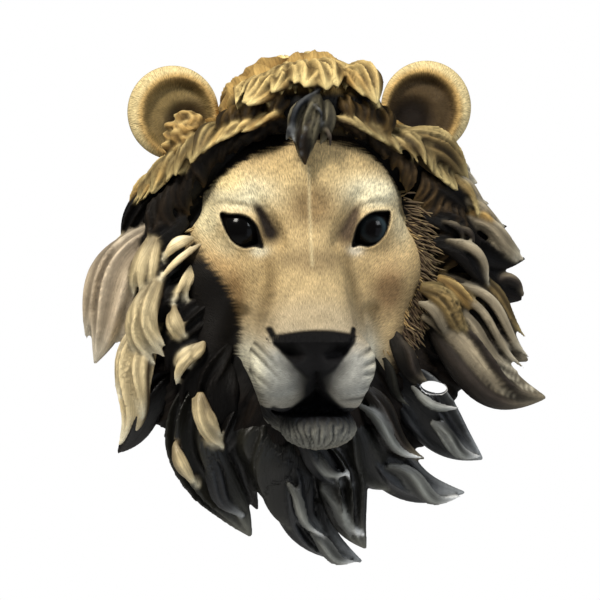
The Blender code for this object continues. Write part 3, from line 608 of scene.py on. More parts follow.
# Rows of locks hung between two lines: start line, end line, how many, width, depths of the
# starts (first, last) and of the ends, bow, arch, rise, thickness, flutes, paint, slide
ROWS = (
    # over the back of the crown, its top, and down to its jagged front edge
    (((-56, 138), (-22, 164), (8, 170), (36, 164), (62, 138)),
     ((-52, 168), (-32, 183), (-12, 190), (12, 193), (30, 186), (48, 171)),
     8, 32, (6, 6), (62, 62), 0.0, 4, 6, 0.36, 4, "gold", 0.0),
    (((-46, 164), (-28, 179), (-8, 186), (14, 188), (30, 181), (44, 165)),
     ((-60, 150), (-44, 149), (-26, 154), (-8, 161), (10, 159), (28, 164), (44, 159), (58, 147)),
     17, 15, (44, 44), (124, 117), 0.04, 3, 8, 0.34, 3, "gold", 0.0),
    (((-30, 174), (-12, 182), (4, 185), (18, 184), (30, 174)),
     ((-58, 156), (-40, 157), (-24, 164), (-8, 170), (10, 168), (28, 172), (42, 166), (56, 152)),
     15, 10, (60, 60), (122, 116), 0.06, 4, 8, 0.4, 2, "gold", 0.0),
    (((-34, 170), (-16, 176), (0, 178), (16, 178), (32, 172)),
     ((-62, 152), (-46, 151), (-28, 157), (-10, 165), (4, 165), (14, 160), (30, 164), (46, 156), (60, 147)),
     9, 23, (96, 92), (135, 127), 0.2, 4, 4, 0.46, 3, "gold", 0.0),
    # hair under that edge, painted dark as the shade beneath it
    (((-6, 160), (-26, 157), (-52, 150)), ((-20, 142), (-42, 137), (-64, 130)),
     8, 15, (104, 92), (119, 109), -0.14, 4, 0, 0.45, 2, "hollow", 0.0),
    (((18, 160), (38, 158), (60, 150)), ((28, 142), (46, 137), (68, 128)),
     8, 15, (104, 92), (119, 109), 0.14, 4, 0, 0.45, 2, "hollow", 0.0),
    # behind the lit ridge and along it, left and right of the parting
    (((-56, 142), (-72, 124), (-88, 112), (-106, 100)), ((-76, 118), (-96, 100), (-118, 88), (-132, 74)),
     12, 13, (84, 56), (112, 63), -0.14, 8, 0, 0.42, 2, "dull_gold", 0.1),
    (((-12, 144), (-36, 140), (-56, 134), (-76, 122), (-98, 102)),
     ((-24, 139), (-41, 133), (-60, 126), (-76, 117), (-95, 99), (-110, 89), (-132, 74)),
     22, 8, (112, 62), (127, 70), -0.12, 6, 0, 0.5, 1, "gold", 0.13),
    (((58, 142), (76, 126), (96, 112), (110, 102)), ((82, 114), (104, 98), (126, 84), (142, 62)),
     12, 13, (84, 56), (110, 63), 0.14, 8, 0, 0.42, 2, "dull_gold", 0.1),
    (((14, 144), (36, 140), (58, 132), (80, 118), (100, 102)),
     ((24, 140), (41, 133), (60, 124), (80, 112), (104, 100), (122, 88), (140, 72)),
     20, 9, (112, 62), (125, 72), 0.12, 6, 0, 0.5, 1, "dull_gold", 0.13),
    # faces falling back from the ridge into the hollow behind the brow, painted near black as the shade
    # there
    (((-4, 146), (-30, 139), (-56, 129), (-78, 116), (-98, 96), (-120, 76)),
     ((-4, 133), (-24, 130), (-45, 121), (-72, 101), (-87, 70), (-100, 30)),
     20, 13, (115, 79), (98, 71), -0.16, 3, 0, 0.5, 2, "fall", 0.0),
    (((10, 146), (34, 139), (58, 127), (82, 111), (104, 96), (130, 68)),
     ((10, 134), (32, 132), (53, 122), (74, 100), (87, 70), (104, 20)),
     20, 13, (115, 79), (98, 71), 0.16, 3, 0, 0.5, 2, "bark", 0.0),
    # tufts on the left, each a fan of strands from one root
    (((-110, 52), (-118, 52)), ((-113, 16), (-124, 8), (-133, 13)),
     3, 11, (88, 84), (84, 78), -0.10, 4, 0, 0.5, 1, "cream", 0.0),
    (((-80, 30), (-84, 34)), ((-80, 10), (-90, 4), (-100, 4)),
     4, 7, (92, 92), (90, 86), -0.06, 3, 0, 0.5, 1, "cream", 0.0),
    (((-108, 22), (-114, 22)), ((-100, -36), (-110, -50), (-118, -50)),
     2, 20, (86, 82), (84, 76), -0.16, 6, 0, 0.5, 2, "cream", 0.0),
    (((-98, 0), (-104, -8)), ((-88, -18), (-96, -31)),
     2, 10, (90, 88), (86, 82), -0.08, 4, 0, 0.5, 1, "cream", 0.0),
    (((-74, -27), (-82, -30)), ((-86, -46), (-96, -60), (-101, -46)),
     4, 10, (90, 88), (86, 80), -0.12, 4, 0, 0.5, 1, "cream", 0.0),
    (((-110, -24), (-118, -24)), ((-118, -80), (-130, -92), (-140, -66)),
     3, 16, (76, 66), (66, 56), -0.12, 6, 0, 0.5, 2, "cream", 0.0),
    # cropped hair between them, painted near black as the shade between the tufts
    (((-90, 52), (-90, 30), (-86, 6), (-76, -20), (-64, -50)),
     ((-112, 30), (-114, 0), (-108, -30), (-98, -60), (-82, -92)),
     12, 13, (82, 80), (80, 72), -0.12, 4, 0, 0.5, 1, "black", 0.0),
    # round the throat
    (((-41, -74), (-24, -90), (-2, -100), (21, -100), (41, -90), (54, -74)),
     ((-50, -130), (-25, -155), (6, -172), (36, -166), (69, -140), (98, -120)),
     6, 40, (82, 80), (60, 56), -0.10, 6, 0, 0.4, 1, "olive", 0.0),
)

# Fur standing off the face: line it grows from, its direction in degrees from straight up at
# each end, how many, length, width, least depth, paint
FUR_ROWS = (
    (((-84, 50), (-79, 73), (-65, 94), (-46, 109), (-24, 119), (-4, 122)),
     -100.0, -8.0, 70, 9.0, 2.0, 70, "fur"),
    (((-80, 46), (-75, 70), (-62, 90), (-44, 105), (-24, 115), (-5, 118)),
     -96.0, -6.0, 60, 9.0, 2.0, 70, "fur"),
    (((8, 122), (28, 121), (47, 116), (66, 97), (80, 73), (90, 50)),
     6.0, 108.0, 70, 9.0, 2.0, 70, "fur"),
    (((8, 118), (27, 117), (45, 112), (63, 93), (76, 70), (86, 46)),
     6.0, 106.0, 60, 9.0, 2.0, 70, "fur"),
    (((79, 84), (88, 66), (93, 40), (93, 14), (86, -10), (74, -32)),
     104.0, 150.0, 150, 15.0, 2.0, 88, "cheek"),
    (((80, 70), (87, 44), (88, 18), (82, -6), (70, -30)),
     108.0, 152.0, 150, 14.0, 1.9, 89, "cheek"),
    (((78, 62), (83, 40), (82, 16), (76, -8), (65, -30)),
     112.0, 156.0, 130, 12.0, 1.8, 88, "tan"),
    # fur over the left cheek, painted black as the shade it lies in
    (((-84, 58), (-84, 34), (-77, 10), (-66, -10), (-56, -34)),
     -108.0, -160.0, 70, 13.0, 2.8, 82, "black"),
    (((-82, 60), (-80, 40), (-72, 20), (-64, 6)), -106.0, -150.0, 60, 8.0, 2.0, 82, "fur"),
    (((-10, -98), (6, -103), (21, -101), (31, -95)), 190.0, 168.0, 30, 7.0, 2.2, 96, "beard"),
)

# Locks close to the wall, all round: how many, start and end reach, depths, width, sweep
WALL_ROWS = (
    (15, 92.0, 136.0, 14.0, 26.0, 44.0, 12.0),
    (15, 94.0, 132.0, 40.0, 38.0, 40.0, 14.0),
)
# Where they begin, clockwise from the top, how far they go, where they change their sweep, and
# up to where they are brown
WALL_TURN = 60.0
WALL_SPAN = 242.0
WALL_PARTING = 150.0
WALL_BROWN = 110.0
WALL_BOW = 0.08

# Single strands at the parting, over the ears' feet and in the ears
PARTING_LOCKS = (
    ((8, 160), (-3, 106), -0.06, 24, 119, 127, 0.0, 0.0, 5, "lichen"),
    ((16, 156), (9, 120), 0.10, 12, 118, 124, 0.0, 0.0, 2, "lichen"),
    ((-2, 156), (-12, 124), -0.12, 10, 119, 125, 0.0, 0.0, 2, "lichen"),
    ((6, 146), (-2, 104), -0.10, 15, 122, 133, 0.0, 0.0, 1, "fall"),
    ((11, 163), (-11, 122), -0.22, 6, 122, 131, 0.0, 0.0, 1, "slate"),
    ((8, 141), (-5, 106), -0.20, 4, 132, 136, 0.0, 0.0, 1, "slate"),
    ((3, 152), (11, 136), 0.12, 4, 130, 134, 0.0, 0.0, 1, "slate"),
    ((-6, 138), (-16, 124), -0.14, 7, 122, 127, 0.0, 0.0, 1, "slate"),
    ((11, 136), (16, 116), 0.14, 5, 128, 128, 0.0, 0.0, 1, "umber"),
)
EAR_LOCKS = (
    ((-66, 134), (-92, 112), -0.14, 15, 82, 72, 0.0, 0.0, 3, "dull_gold"),
    ((-88, 112), (-120, 96), -0.14, 15, 72, 60, 0.0, 0.0, 3, "dull_gold"),
    ((64, 138), (106, 104), 0.14, 15, 84, 68, 0.0, 0.0, 3, "dull_gold"),
    ((76, 126), (122, 94), 0.10, 15, 84, 64, 0.0, 0.0, 3, "dull_gold"),
)
# The curly clump in the left ear: where it lies, how wide and tall, how many curls
CURLS = ((-91, 133), (13, 17), 26)
CURL_LONG = 9.0
CURL_WIDE = 8.5
# Height of the mane's middle, its half width and height, and how strongly hair turns forwards
MANE_MIDDLE = 8.0
MANE_HALF = (150.0, 170.0)
FORWARDS = -0.25
FACING = 0.45
# Locks whose middle is above or below these heights are of the crown or the lower mane
CROWN_ABOVE = 96.0
LOWER_BELOW = -82.0
# The farthest back that any lock may reach, just clear of the wall
WALL_GAP = -0.3
# Cell of the grown mesh, how many old points lend it their paint, how far under the new surface
# they still do, and how far aside
GROWN_CELL = 1.45
NEAR_POINTS = 8
LEND_UNDER = 0.6
LEND_ASIDE = 2.5
# The gap through the mane: where, half width and height, length, lean, and drift in x with depth
GAP_PLACE = (105.5, -60.0, -64.5)
GAP_SIZE = (10.5, 5.2)
GAP_DEPTH = 170.0
GAP_LEAN = 10.0
GAP_DRIFT = -0.141
# Points over and under a carved lock, rings along it, and the share of its height that is cut
TOP_SAMPLES = 30
UNDER_SAMPLES = 10
CARVED_RINGS = 26
FLUTE_CUT = 0.62
SOFT_FLUTE_CUT = 0.4
# Narrower locks are plain strands, and wider ones of the split paints have side strands
STRAND_WIDE = 6.0
STRAND_RINGS = 7
STRAND_SIDES = 6
SPLIT_WIDE = 14.0


def swell(t, full=0.42, root=0.35, tip=0.05):
    """Width of a lock along its length: a flame that fills, then draws to a point."""
    rise = root + (1.0 - root) * np.sin(0.5 * math.pi * np.clip(t / full, 0.0, 1.0))
    u = np.clip((t - full) / (1.0 - full), 0.0, 1.0)
    fall = tip + (1.0 - tip) * (1.0 - u ** 1.9)
    return np.where(t < full, rise, fall)


class Lock:
    """The line, breadth and lift of one lock of hair."""

    def __init__(self, start, end, bow, width, depth_start, depth_end, sway=0.0, curl=0.0,
                 flutes=4, paint="black", arch=7.0, thick=0.46, rise=0.0):
        self.start = np.array(start, dtype=float)
        self.end = np.array(end, dtype=float)
        self.run = self.end - self.start
        self.length = float(np.hypot(*self.run))
        self.side = np.array((-self.run[1], self.run[0])) / self.length
        self.bow = bow
        self.width = width
        self.depths = (depth_start, depth_end)
        self.sway = sway
        self.curl = curl
        self.flutes = flutes
        self.paint = paint
        self.arch = arch
        self.thick = thick
        self.rise = rise
        self.roll = dice.uniform(-0.45, 0.45)
        self.tint = dice.uniform(0.86, 1.12)

    def line(self, t):
        bend = self.bow * np.sin(math.pi * t) + self.sway * np.sin(2.0 * math.pi * t)
        bend = bend + self.curl * (np.clip(t - 0.6, 0.0, 1.0) / 0.4) ** 2
        flat = self.start + self.run * t[:, None] + self.side * (self.length * bend)[:, None]
        depth = self.depths[0] + (self.depths[1] - self.depths[0]) * t
        depth = depth + self.arch * np.sin(math.pi * np.clip(t, 0.0, 1.0))
        height = flat[:, 1] + self.rise * np.sin(math.pi * np.clip(t, 0.0, 1.0))
        return np.stack([flat[:, 0], -depth, height], axis=1)

    def lay(self, t):
        """Middle line, sideways and upward directions, half width and height at each t."""
        middle = self.line(t)
        along = self.line(t + 0.01) - self.line(t - 0.01)
        along /= np.linalg.norm(along, axis=1)[:, None]
        up = (middle[:, 2] - MANE_MIDDLE) / MANE_HALF[1]
        out = np.stack([middle[:, 0] / MANE_HALF[0], np.full(len(t), FORWARDS), up], axis=1)
        out /= np.linalg.norm(out, axis=1)[:, None]
        out = out * FACING + np.array((0.0, -1.0, 0.0)) * (1.0 - FACING)
        out /= np.linalg.norm(out, axis=1)[:, None]
        across = np.cross(along, out)
        across /= np.linalg.norm(across, axis=1)[:, None]
        lift = np.cross(across, along)
        lean = (self.roll * np.sin(math.pi * t))[:, None]
        c = np.cos(lean)
        s = np.sin(lean)
        across, lift = across * c + lift * s, lift * c - across * s
        half = 0.5 * self.width * swell(t)
        high = np.maximum(self.thick * half * 1.5, 1.6)
        return middle, across, lift, half, high


def body(t, middle, across, lift, half, high, turn, crest):
    """Rings of one strand; crest is the share of the height left at each point of its top."""
    c = np.tile(np.cos(turn), (len(t), 1))
    s = np.tile(np.sin(turn), (len(t), 1))
    up = np.where(s > 0.0, 1.0, 0.6) * high[:, None] * np.abs(s) ** 1.1
    up = up * np.where(s > 0.0, crest, 1.0)
    rings = middle[:, None, :] + across[:, None, :] * (half[:, None] * c)[:, :, None]
    rings = rings + lift[:, None, :] * (up * np.sign(s))[:, :, None]
    # How far each point faces up, which sets the painted top light in lock_paint
    painted_top_light = across[:, 2:3] * c + lift[:, 2:3] * s
    return {"rings": rings, "height": s, "painted_top_light": painted_top_light, "crest": crest, "shade": 0.0,
            "along": np.tile(t[:, None], (1, len(turn))), "turn": np.tile(turn, (len(t), 1))}


def carved_body(lock, t, middle, across, lift, half, high, flutes):
    """One solid strand whose top is carved in crisp crests with wandering flutes between them."""
    top = np.arccos(np.linspace(1.0, -1.0, TOP_SAMPLES))
    turn = np.concatenate([top, np.linspace(math.pi, 2.0 * math.pi, UNDER_SAMPLES + 2)[1:-1]])
    c = np.cos(turn)[None, :]
    drift = 0.5 * np.sin(2.0 * math.pi * (t * dice.uniform(0.4, 0.9) + dice.uniform()))
    drift = drift + dice.uniform(-0.9, 0.9) * t
    warp = c + 0.16 * np.sin(2.6 * c + dice.uniform(0.0, 6.28))
    wave = np.abs(np.sin(0.5 * math.pi * flutes * warp + drift[:, None]))
    fade = (np.sin(math.pi * np.clip(0.04 + 0.95 * t, 0.0, 1.0)) ** 0.5)[:, None]
    deep = SOFT_FLUTE_CUT if lock.paint in SPLIT_PAINTS else FLUTE_CUT
    crest = 1.0 - deep * fade * wave ** 0.9
    lean = 1.0 + dice.uniform(-0.3, 0.3) * c
    return body(t, middle, across, lift, half, high * 1.35, turn, crest * lean)


def lock_parts(lock):
    """The main strand of a lock, and on a broad one the side strands that split off its edges."""
    if lock.width < STRAND_WIDE:
        t = np.linspace(0.0, 1.0, STRAND_RINGS)
        middle, across, lift, half, high = lock.lay(t)
        turn = np.linspace(0.0, 2.0 * math.pi, STRAND_SIDES, endpoint=False)
        crest = np.ones((STRAND_RINGS, STRAND_SIDES))
        return [body(t, middle, across, lift, half, half * 0.8, turn, crest)]
    t = np.linspace(0.0, 1.0, CARVED_RINGS)
    middle, across, lift, half, high = lock.lay(t)
    parts = [carved_body(lock, t, middle, across, lift, half * 0.95, high, lock.flutes)]
    if lock.paint not in SPLIT_PAINTS or lock.width < SPLIT_WIDE:
        return parts
    for hand in (-1.0, 1.0):
        start = dice.uniform(0.1, 0.3)
        stop = dice.uniform(0.74, 0.95)
        t = start + (stop - start) * np.linspace(0.0, 1.0, CARVED_RINGS)
        own = (t - start) / (stop - start)
        middle, across, lift, half, high = lock.lay(t)
        wide = lock.width * 0.5 * swell(own, 0.4, 0.3) * dice.uniform(0.42, 0.58)
        off = hand * (lock.width * 0.5) * (0.46 + 0.16 * own)
        middle = middle + across * off[:, None] + lift * (high * dice.uniform(0.0, 0.35))[:, None]
        parts.append(carved_body(lock, own, middle, across, lift, wide, wide * 0.75, 2))
        parts[-1]["shade"] = dice.uniform(-0.15, 0.1)
    return parts


def smooth_mesh(ob):
    deselect()
    ob.select_set(True)
    bpy.context.view_layer.objects.active = ob
    bpy.ops.object.shade_smooth()
    ob.select_set(False)


def locks_object(name, locks):
    """One piece out of many locks, with its paint and the run of its hair kept on the mesh."""
    verts = []
    faces = []
    paints = []
    runs = []
    base = 0
    for lock in locks:
        for part in lock_parts(lock):
            rings = part["rings"]
            rings[:, :, 1] = np.minimum(rings[:, :, 1], WALL_GAP)
            count, sides = rings.shape[:2]
            grid = base + np.arange(count * sides).reshape(count, sides)
            a = grid[:-1]
            b = np.roll(grid, -1, axis=1)[:-1]
            c = np.roll(grid, -1, axis=1)[1:]
            d = grid[1:]
            faces.extend(np.stack([a, b, c, d], axis=-1).reshape(-1, 4).tolist())
            faces.append(grid[0][::-1].tolist())
            faces.append(grid[-1].tolist())
            verts.append(rings.reshape(-1, 3))
            paints.append(lock_paint(lock, part))
            # Tint and shade shift each strand's pattern, so that no two neighbours match
            across = part["turn"].ravel() * 0.5 * lock.width + 61.0 * lock.tint + 17.0 * part["shade"]
            runs.append(np.stack([across, part["along"].ravel() * lock.length], axis=1))
            base += count * sides
    mesh = bpy.data.meshes.new(name)
    mesh.from_pydata(np.concatenate(verts).tolist(), [], faces)
    ob = bpy.data.objects.new(name, mesh)
    bpy.context.scene.collection.objects.link(ob)
    set_paint(ob, np.concatenate(paints))
    set_run(ob, np.concatenate(runs))
    bm = bmesh.new()
    bm.from_mesh(mesh)
    bmesh.ops.recalc_face_normals(bm, faces=bm.faces)
    bm.to_mesh(mesh)
    bm.free()
    smooth_mesh(ob)
    return ob


def finish_of(ob):
    """Paint and hair run at each point of a piece."""
    paint = read(ob.data.color_attributes["paint"].data, "color", 4)[:, :3]
    run = np.zeros((len(paint), 2))
    run[corners_of(ob)] = read(ob.data.uv_layers["hair_run"].data, "uv", 2)
    return paint, run


def grow_together(ob):
    """Makes one carved surface of overlapping locks and carries their paint and hair run over."""
    old = points_of(ob)
    facing = normals_of(ob)
    paint, run = finish_of(ob)
    settle(ob, "REMESH", mode="VOXEL", voxel_size=GROWN_CELL, adaptivity=0.0)
    settle(ob, "SMOOTH", factor=0.5, iterations=2)
    tree = KDTree(len(old))
    for i, point in enumerate(old.tolist()):
        tree.insert(point, i)
    tree.balance()
    points = points_of(ob)
    out = normals_of(ob)
    near = [tree.find_n(point, NEAR_POINTS) for point in points.tolist()]
    index = np.array([[hit[1] for hit in hits] for hits in near])
    gap = points[:, None, :] - old[index]
    under = np.einsum("ij,ikj->ik", out, gap)
    apart = np.sqrt(np.sum(gap * gap, axis=2))
    agree = np.clip(np.einsum("ij,ikj->ik", out, facing[index]), 0.02, 1.0)
    weight = agree ** 2 * np.exp(-(under / LEND_UNDER) ** 2 - (apart / LEND_ASIDE) ** 2) + 1e-9
    weight /= np.sum(weight, axis=1)[:, None]
    colour = evened(ob, np.einsum("ik,ikj->ij", weight, paint[index]), 2)
    # Paint is darker in the hollows, a dark wash that is also painted shade, and rubbed paler on the crests
    hollow = np.sum((evened(ob, points, 6) - points) * out, axis=1)
    colour *= np.clip(1.0 - 0.9 * hollow, 0.25, 1.35)[:, None]
    set_paint(ob, colour)
    set_run(ob, run[index[np.arange(len(points)), np.argmax(weight, axis=1)]])
    smooth_mesh(ob)


def evened(ob, values, rounds):
    """The values at the points, each drawn towards those of its neighbours."""
    a, b = read(ob.data.edges, "vertices", 2, np.int32).T
    count = len(values)
    near = np.bincount(a, minlength=count) + np.bincount(b, minlength=count)
    soft = values.copy()
    for _ in range(rounds):
        total = np.empty_like(soft)
        for axis in range(3):
            total[:, axis] = np.bincount(a, weights=soft[b, axis], minlength=count)
            total[:, axis] += np.bincount(b, weights=soft[a, axis], minlength=count)
        soft = 0.4 * soft + 0.6 * total / np.maximum(near, 1)[:, None]
    return soft


def open_gap(ob):
    """Cuts the slanting gap between the big right lock and the one below it."""
    deselect()
    bpy.ops.mesh.primitive_cylinder_add(vertices=32, radius=1.0, depth=GAP_DEPTH, location=GAP_PLACE,
                                        scale=(GAP_SIZE[0], GAP_SIZE[1], 1.0),
                                        rotation=(math.radians(90.0), math.radians(GAP_LEAN), 0.0))
    cutter = bpy.context.active_object
    bpy.ops.object.transform_apply(location=True, rotation=True, scale=True)
    cutter.select_set(False)
    points = points_of(cutter)
    points[:, 0] -= GAP_DRIFT * (points[:, 1] - GAP_PLACE[1])
    put_points(cutter, points)
    settle(ob, "BOOLEAN", operation="DIFFERENCE", solver="EXACT", object=cutter)
    bpy.data.objects.remove(cutter)


def set_paint(ob, colours):
    """Paint colour at each point, given in linear values."""
    layer = ob.data.color_attributes.new("paint", "FLOAT_COLOR", "POINT")
    full = np.concatenate([colours, np.ones((len(colours), 1))], axis=1)
    layer.data.foreach_set("color", full.astype(np.float32).ravel())


def set_run(ob, run):
    """UV map in millimetres: across the hair and along it."""
    layer = ob.data.uv_layers.new(name="hair_run")
    layer.data.foreach_set("uv", run[corners_of(ob)].astype(np.float32).ravel())


def linear(colour):
    """Linear red, green and blue of an sRGB hex colour."""
    parts = [int(colour[i:i + 2], 16) / 255.0 for i in (1, 3, 5)]
    return np.array([p / 12.92 if p <= 0.04045 else ((p + 0.055) / 1.055) ** 2.4 for p in parts])


def mix(a, b, share):
    share = np.asarray(share)[:, None] if np.ndim(share) else share
    return a * (1.0 - share) + b * share


def lock_paint(lock, part):
    """Dark wash in the hollows, under the lock and towards its root, which is also painted shade; the
    lock's colour brushed over its crests; pale at the tip, and paler on faces turned up as painted top
    light.
    """
    hollow, ridge, tip = (linear(shade) for shade in PAINTS[lock.paint])
    height = part["height"].ravel()
    along = part["along"].ravel()
    painted_top_light = part["painted_top_light"].ravel()
    # The underside, the root and the flute hollows take the hollow colour: a dark wash that is also painted
    # shade
    share = smooth_step(-0.3, 0.6, height) * (0.35 + 0.65 * smooth_step(0.05, 0.5, along))
    share = np.clip(share * smooth_step(0.25, 0.9, part["crest"].ravel()) + part["shade"], 0.0, 1.0)
    colour = mix(np.tile(hollow, (len(height), 1)), ridge, share)
    # Pale tips, and painted top light: faces turned up are paler, as where the light falls
    pale = 0.85 * smooth_step(0.68, 1.0, along) + 0.55 * smooth_step(0.15, 0.8, painted_top_light)
    colour = mix(colour, tip, np.clip(pale, 0.0, 1.0) * share)
    return colour * lock.tint


def around(turn, reach):
    """A point in the face plane, at an angle clockwise from straight up."""
    angle = math.radians(turn)
    return (reach * math.sin(angle), MANE_MIDDLE + reach * math.cos(angle))


def on_line(line, share):
    """The point at a share of an open line's length."""
    line = np.array(line, dtype=float)
    long = np.concatenate([[0.0], np.cumsum(np.hypot(*(line[1:] - line[:-1]).T))])
    at = share * long[-1]
    return (float(np.interp(at, long, line[:, 0])), float(np.interp(at, long, line[:, 1])))


def part_way(pair, share):
    return pair[0] + (pair[1] - pair[0]) * share


def row_locks():
    for row in ROWS:
        starts, ends, count, width, deep_start, deep_end, bow, arch, rise, thick, flutes, paint, slide = row
        for k in range(count):
            share = (k + 0.5) / count
            first = np.clip((1.0 - slide) * share + dice.uniform(-0.4, 0.4) / count, 0.0, 1.0)
            last = np.clip((1.0 - slide) * share + slide + dice.uniform(-0.3, 0.3) / count, 0.0, 1.0)
            start = on_line(starts, first)
            end = on_line(ends, last)
            reach = dice.uniform(0.86, 1.14)
            end = tuple(s + (e - s) * reach for s, e in zip(start, end))
            yield Lock(start, end, bow * dice.uniform(0.4, 1.7), width * dice.uniform(0.75, 1.25),
                       part_way(deep_start, share), part_way(deep_end, share) + dice.uniform(-4.0, 3.0),
                       dice.uniform(-0.05, 0.05), 0.0, flutes, paint, arch, thick, rise)


def fur_locks(face):
    """Short fur off the edge of the face, each hair standing on the skin."""
    skin = points_of(face)
    for line, turn_first, turn_last, count, length, width, least, paint in FUR_ROWS:
        for k in range(count):
            share = np.clip((k + dice.uniform(0.0, 1.0)) / count, 0.0, 1.0)
            x, z = on_line(line, share)
            x += 0.25 * length * dice.uniform(-1.0, 1.0)
            z += 0.25 * length * dice.uniform(-1.0, 1.0)
            turn = math.radians(turn_first + (turn_last - turn_first) * share + dice.uniform(-20.0, 20.0))
            reach = length * dice.uniform(0.7, 1.25)
            near = (np.abs(skin[:, 0] - x) < 2.5) & (np.abs(skin[:, 2] - z) < 2.5)
            depth = max(-float(np.min(skin[near, 1])) if near.any() else least, least)
            end = (x + reach * math.sin(turn), z + reach * math.cos(turn))
            yield Lock((x, z), end, dice.uniform(-0.1, 0.1), width * dice.uniform(0.8, 1.3), depth - 0.8,
                       depth - dice.uniform(-2.5, 2.0), 0.0, 0.0, 1, paint, 1.0)


def curl_locks():
    """Small curls heaped in the hollow of the left ear."""
    (x, z), (wide, tall), count = CURLS
    for k in range(count):
        turn = 2.4 * k
        reach = math.sqrt((k + 0.5) / count)
        start = (x + wide * reach * math.cos(turn) + 4.0, z + tall * reach * math.sin(turn) - 4.0)
        swing = dice.uniform(-1.1, 1.1)
        end = (start[0] - CURL_LONG * math.sin(0.8 + swing), start[1] + CURL_LONG * math.cos(0.8 + swing))
        depth = 86.0 - 7.0 * reach
        yield Lock(start, end, dice.uniform(-0.3, 0.3), CURL_WIDE, depth, depth, 0.0, 0.35, 1, "gold",
                   5.0, 0.7)


def wall_locks():
    for count, reach_start, reach_end, depth_start, depth_end, width, sweep in WALL_ROWS:
        for k in range(count):
            turn = WALL_TURN + WALL_SPAN * (k + 0.5) / count
            hand = 1.0 if turn < WALL_PARTING else -1.0
            yield Lock(around(turn, reach_start), around(turn + hand * sweep, reach_end),
                       hand * WALL_BOW, width, depth_start, depth_end,
                       paint="umber" if turn < WALL_BROWN else "olive")


def single_locks():
    for row in OUTLINE_LOCKS + RIDGE_LOCKS + PARTING_LOCKS + EAR_LOCKS:
        yield Lock(*row)


def quarter(lock):
    """The quarter of the mane that a lock belongs to, by its middle."""
    x, z = 0.5 * (lock.start + lock.end)
    if z > CROWN_ABOVE:
        return "crown"
    if z < LOWER_BELOW:
        return "lower"
    return "left" if x < 0.0 else "right"


def mane_locks(face):
    """All locks, gathered in the four quarters of the mane, and the fur round the face."""
    locks = {"crown": [], "left": [], "right": [], "lower": [], "fur": list(fur_locks(face))}
    for source in (wall_locks(), row_locks(), curl_locks(), single_locks()):
        for lock in source:
            locks[quarter(lock)].append(lock)
    return locks


def scatter(i, j, salt):
    """A repeatable number from 0 to 1 for each cell."""
    value = np.sin(i * 12.9898 + j * 78.233 + salt * 37.719) * 43758.5453
    return value - np.floor(value)


# Tufts on the bulk: width and length, the middle they fan out from, the millimetres they spread
# for each radian, how far they sway, and how high they stand
TUFT_WIDE = 15.0
TUFT_LONG = 46.0
TUFT_MIDDLE = (3.0, 8.0)
TUFT_SPREAD = 105.0
TUFT_SWAY = 14.0
TUFT_HIGH = 7.0


def tuft_relief(points):
    """Overlapping tufts over the bulk of the mane, 0 in the hollows and 1 on the crests."""
    swing = np.arctan2(points[:, 0] - TUFT_MIDDLE[0], points[:, 2] - TUFT_MIDDLE[1])
    reach = np.hypot(points[:, 0] - TUFT_MIDDLE[0], points[:, 2] - TUFT_MIDDLE[1])
    u = swing * TUFT_SPREAD + 0.12 * reach * np.sign(points[:, 0])
    v = reach + 0.7 * (points[:, 1] + 120.0)
    column = np.floor(u / TUFT_WIDE)
    best = np.zeros(len(points))
    for di in (-1.0, 0.0, 1.0):
        i = column + di
        stagger = scatter(i, 0.0, 1.0)
        row = np.floor(v / TUFT_LONG - stagger)
        for dj in (-1.0, 0.0):
            j = row + dj
            a = v / TUFT_LONG - stagger - j - 0.25 * scatter(i, j, 2.0)
            middle = (i + 0.5 + 0.5 * (scatter(i, j, 3.0) - 0.5)) * TUFT_WIDE
            middle += (scatter(i, j, 4.0) - 0.5) * TUFT_SWAY * a
            b = (u - middle) / (0.62 * TUFT_WIDE * swell(np.clip(a / 1.4, 0.0, 1.0), 0.4, 0.7) + 0.1)
            crest = np.sqrt(np.clip(1.0 - b * b, 0.0, 1.0))
            comb = 1.0 - 0.35 * np.abs(np.sin(b * 4.2 + 6.0 * scatter(i, j, 5.0)))
            inside = (a > 0.0) & (a < 1.4)
            best = np.maximum(best, inside * crest * comb * (0.3 + 0.7 * smooth_step(0.0, 0.9, a)))
    return best


# Hood of hair round the forehead: turn to each side, reach and how it drops, size and depth
HOOD_STEPS = 15
HOOD_SIDES = 16
HOOD_TURN = 78.0
HOOD_REACH = 142.0
HOOD_DROP = 19.0
HOOD_EAR_DIP = 8.0
HOOD_SIZE = (16.0, 14.0)
HOOD_TAPER = 0.55
HOOD_DEPTH = 60.0
HOOD_BULGE = 26.0
HOOD_MIDDLE = (6.0, 8.0)


def hood_rings():
    rings = []
    for u in np.linspace(-1.0, 1.0, HOOD_STEPS):
        turn = math.radians(HOOD_TURN * u)
        fat = 1.0 - HOOD_TAPER * u * u
        out = np.array((math.sin(turn), 0.0, math.cos(turn)))
        reach = HOOD_REACH - HOOD_DROP * (1.0 - math.cos(turn)) - HOOD_EAR_DIP * math.sin(2.0 * turn) ** 2
        deep = HOOD_DEPTH + HOOD_BULGE * math.cos(turn)
        middle = out * reach + np.array((HOOD_MIDDLE[0], -deep, HOOD_MIDDLE[1]))
        a = np.linspace(0.0, 2.0 * math.pi, HOOD_SIDES, endpoint=False)[:, None]
        aside = out * (HOOD_SIZE[0] * fat * np.cos(a))
        rings.append(middle + aside + np.array((0.0, -1.0, 0.0)) * (HOOD_SIZE[1] * fat * np.sin(a)))
    return rings


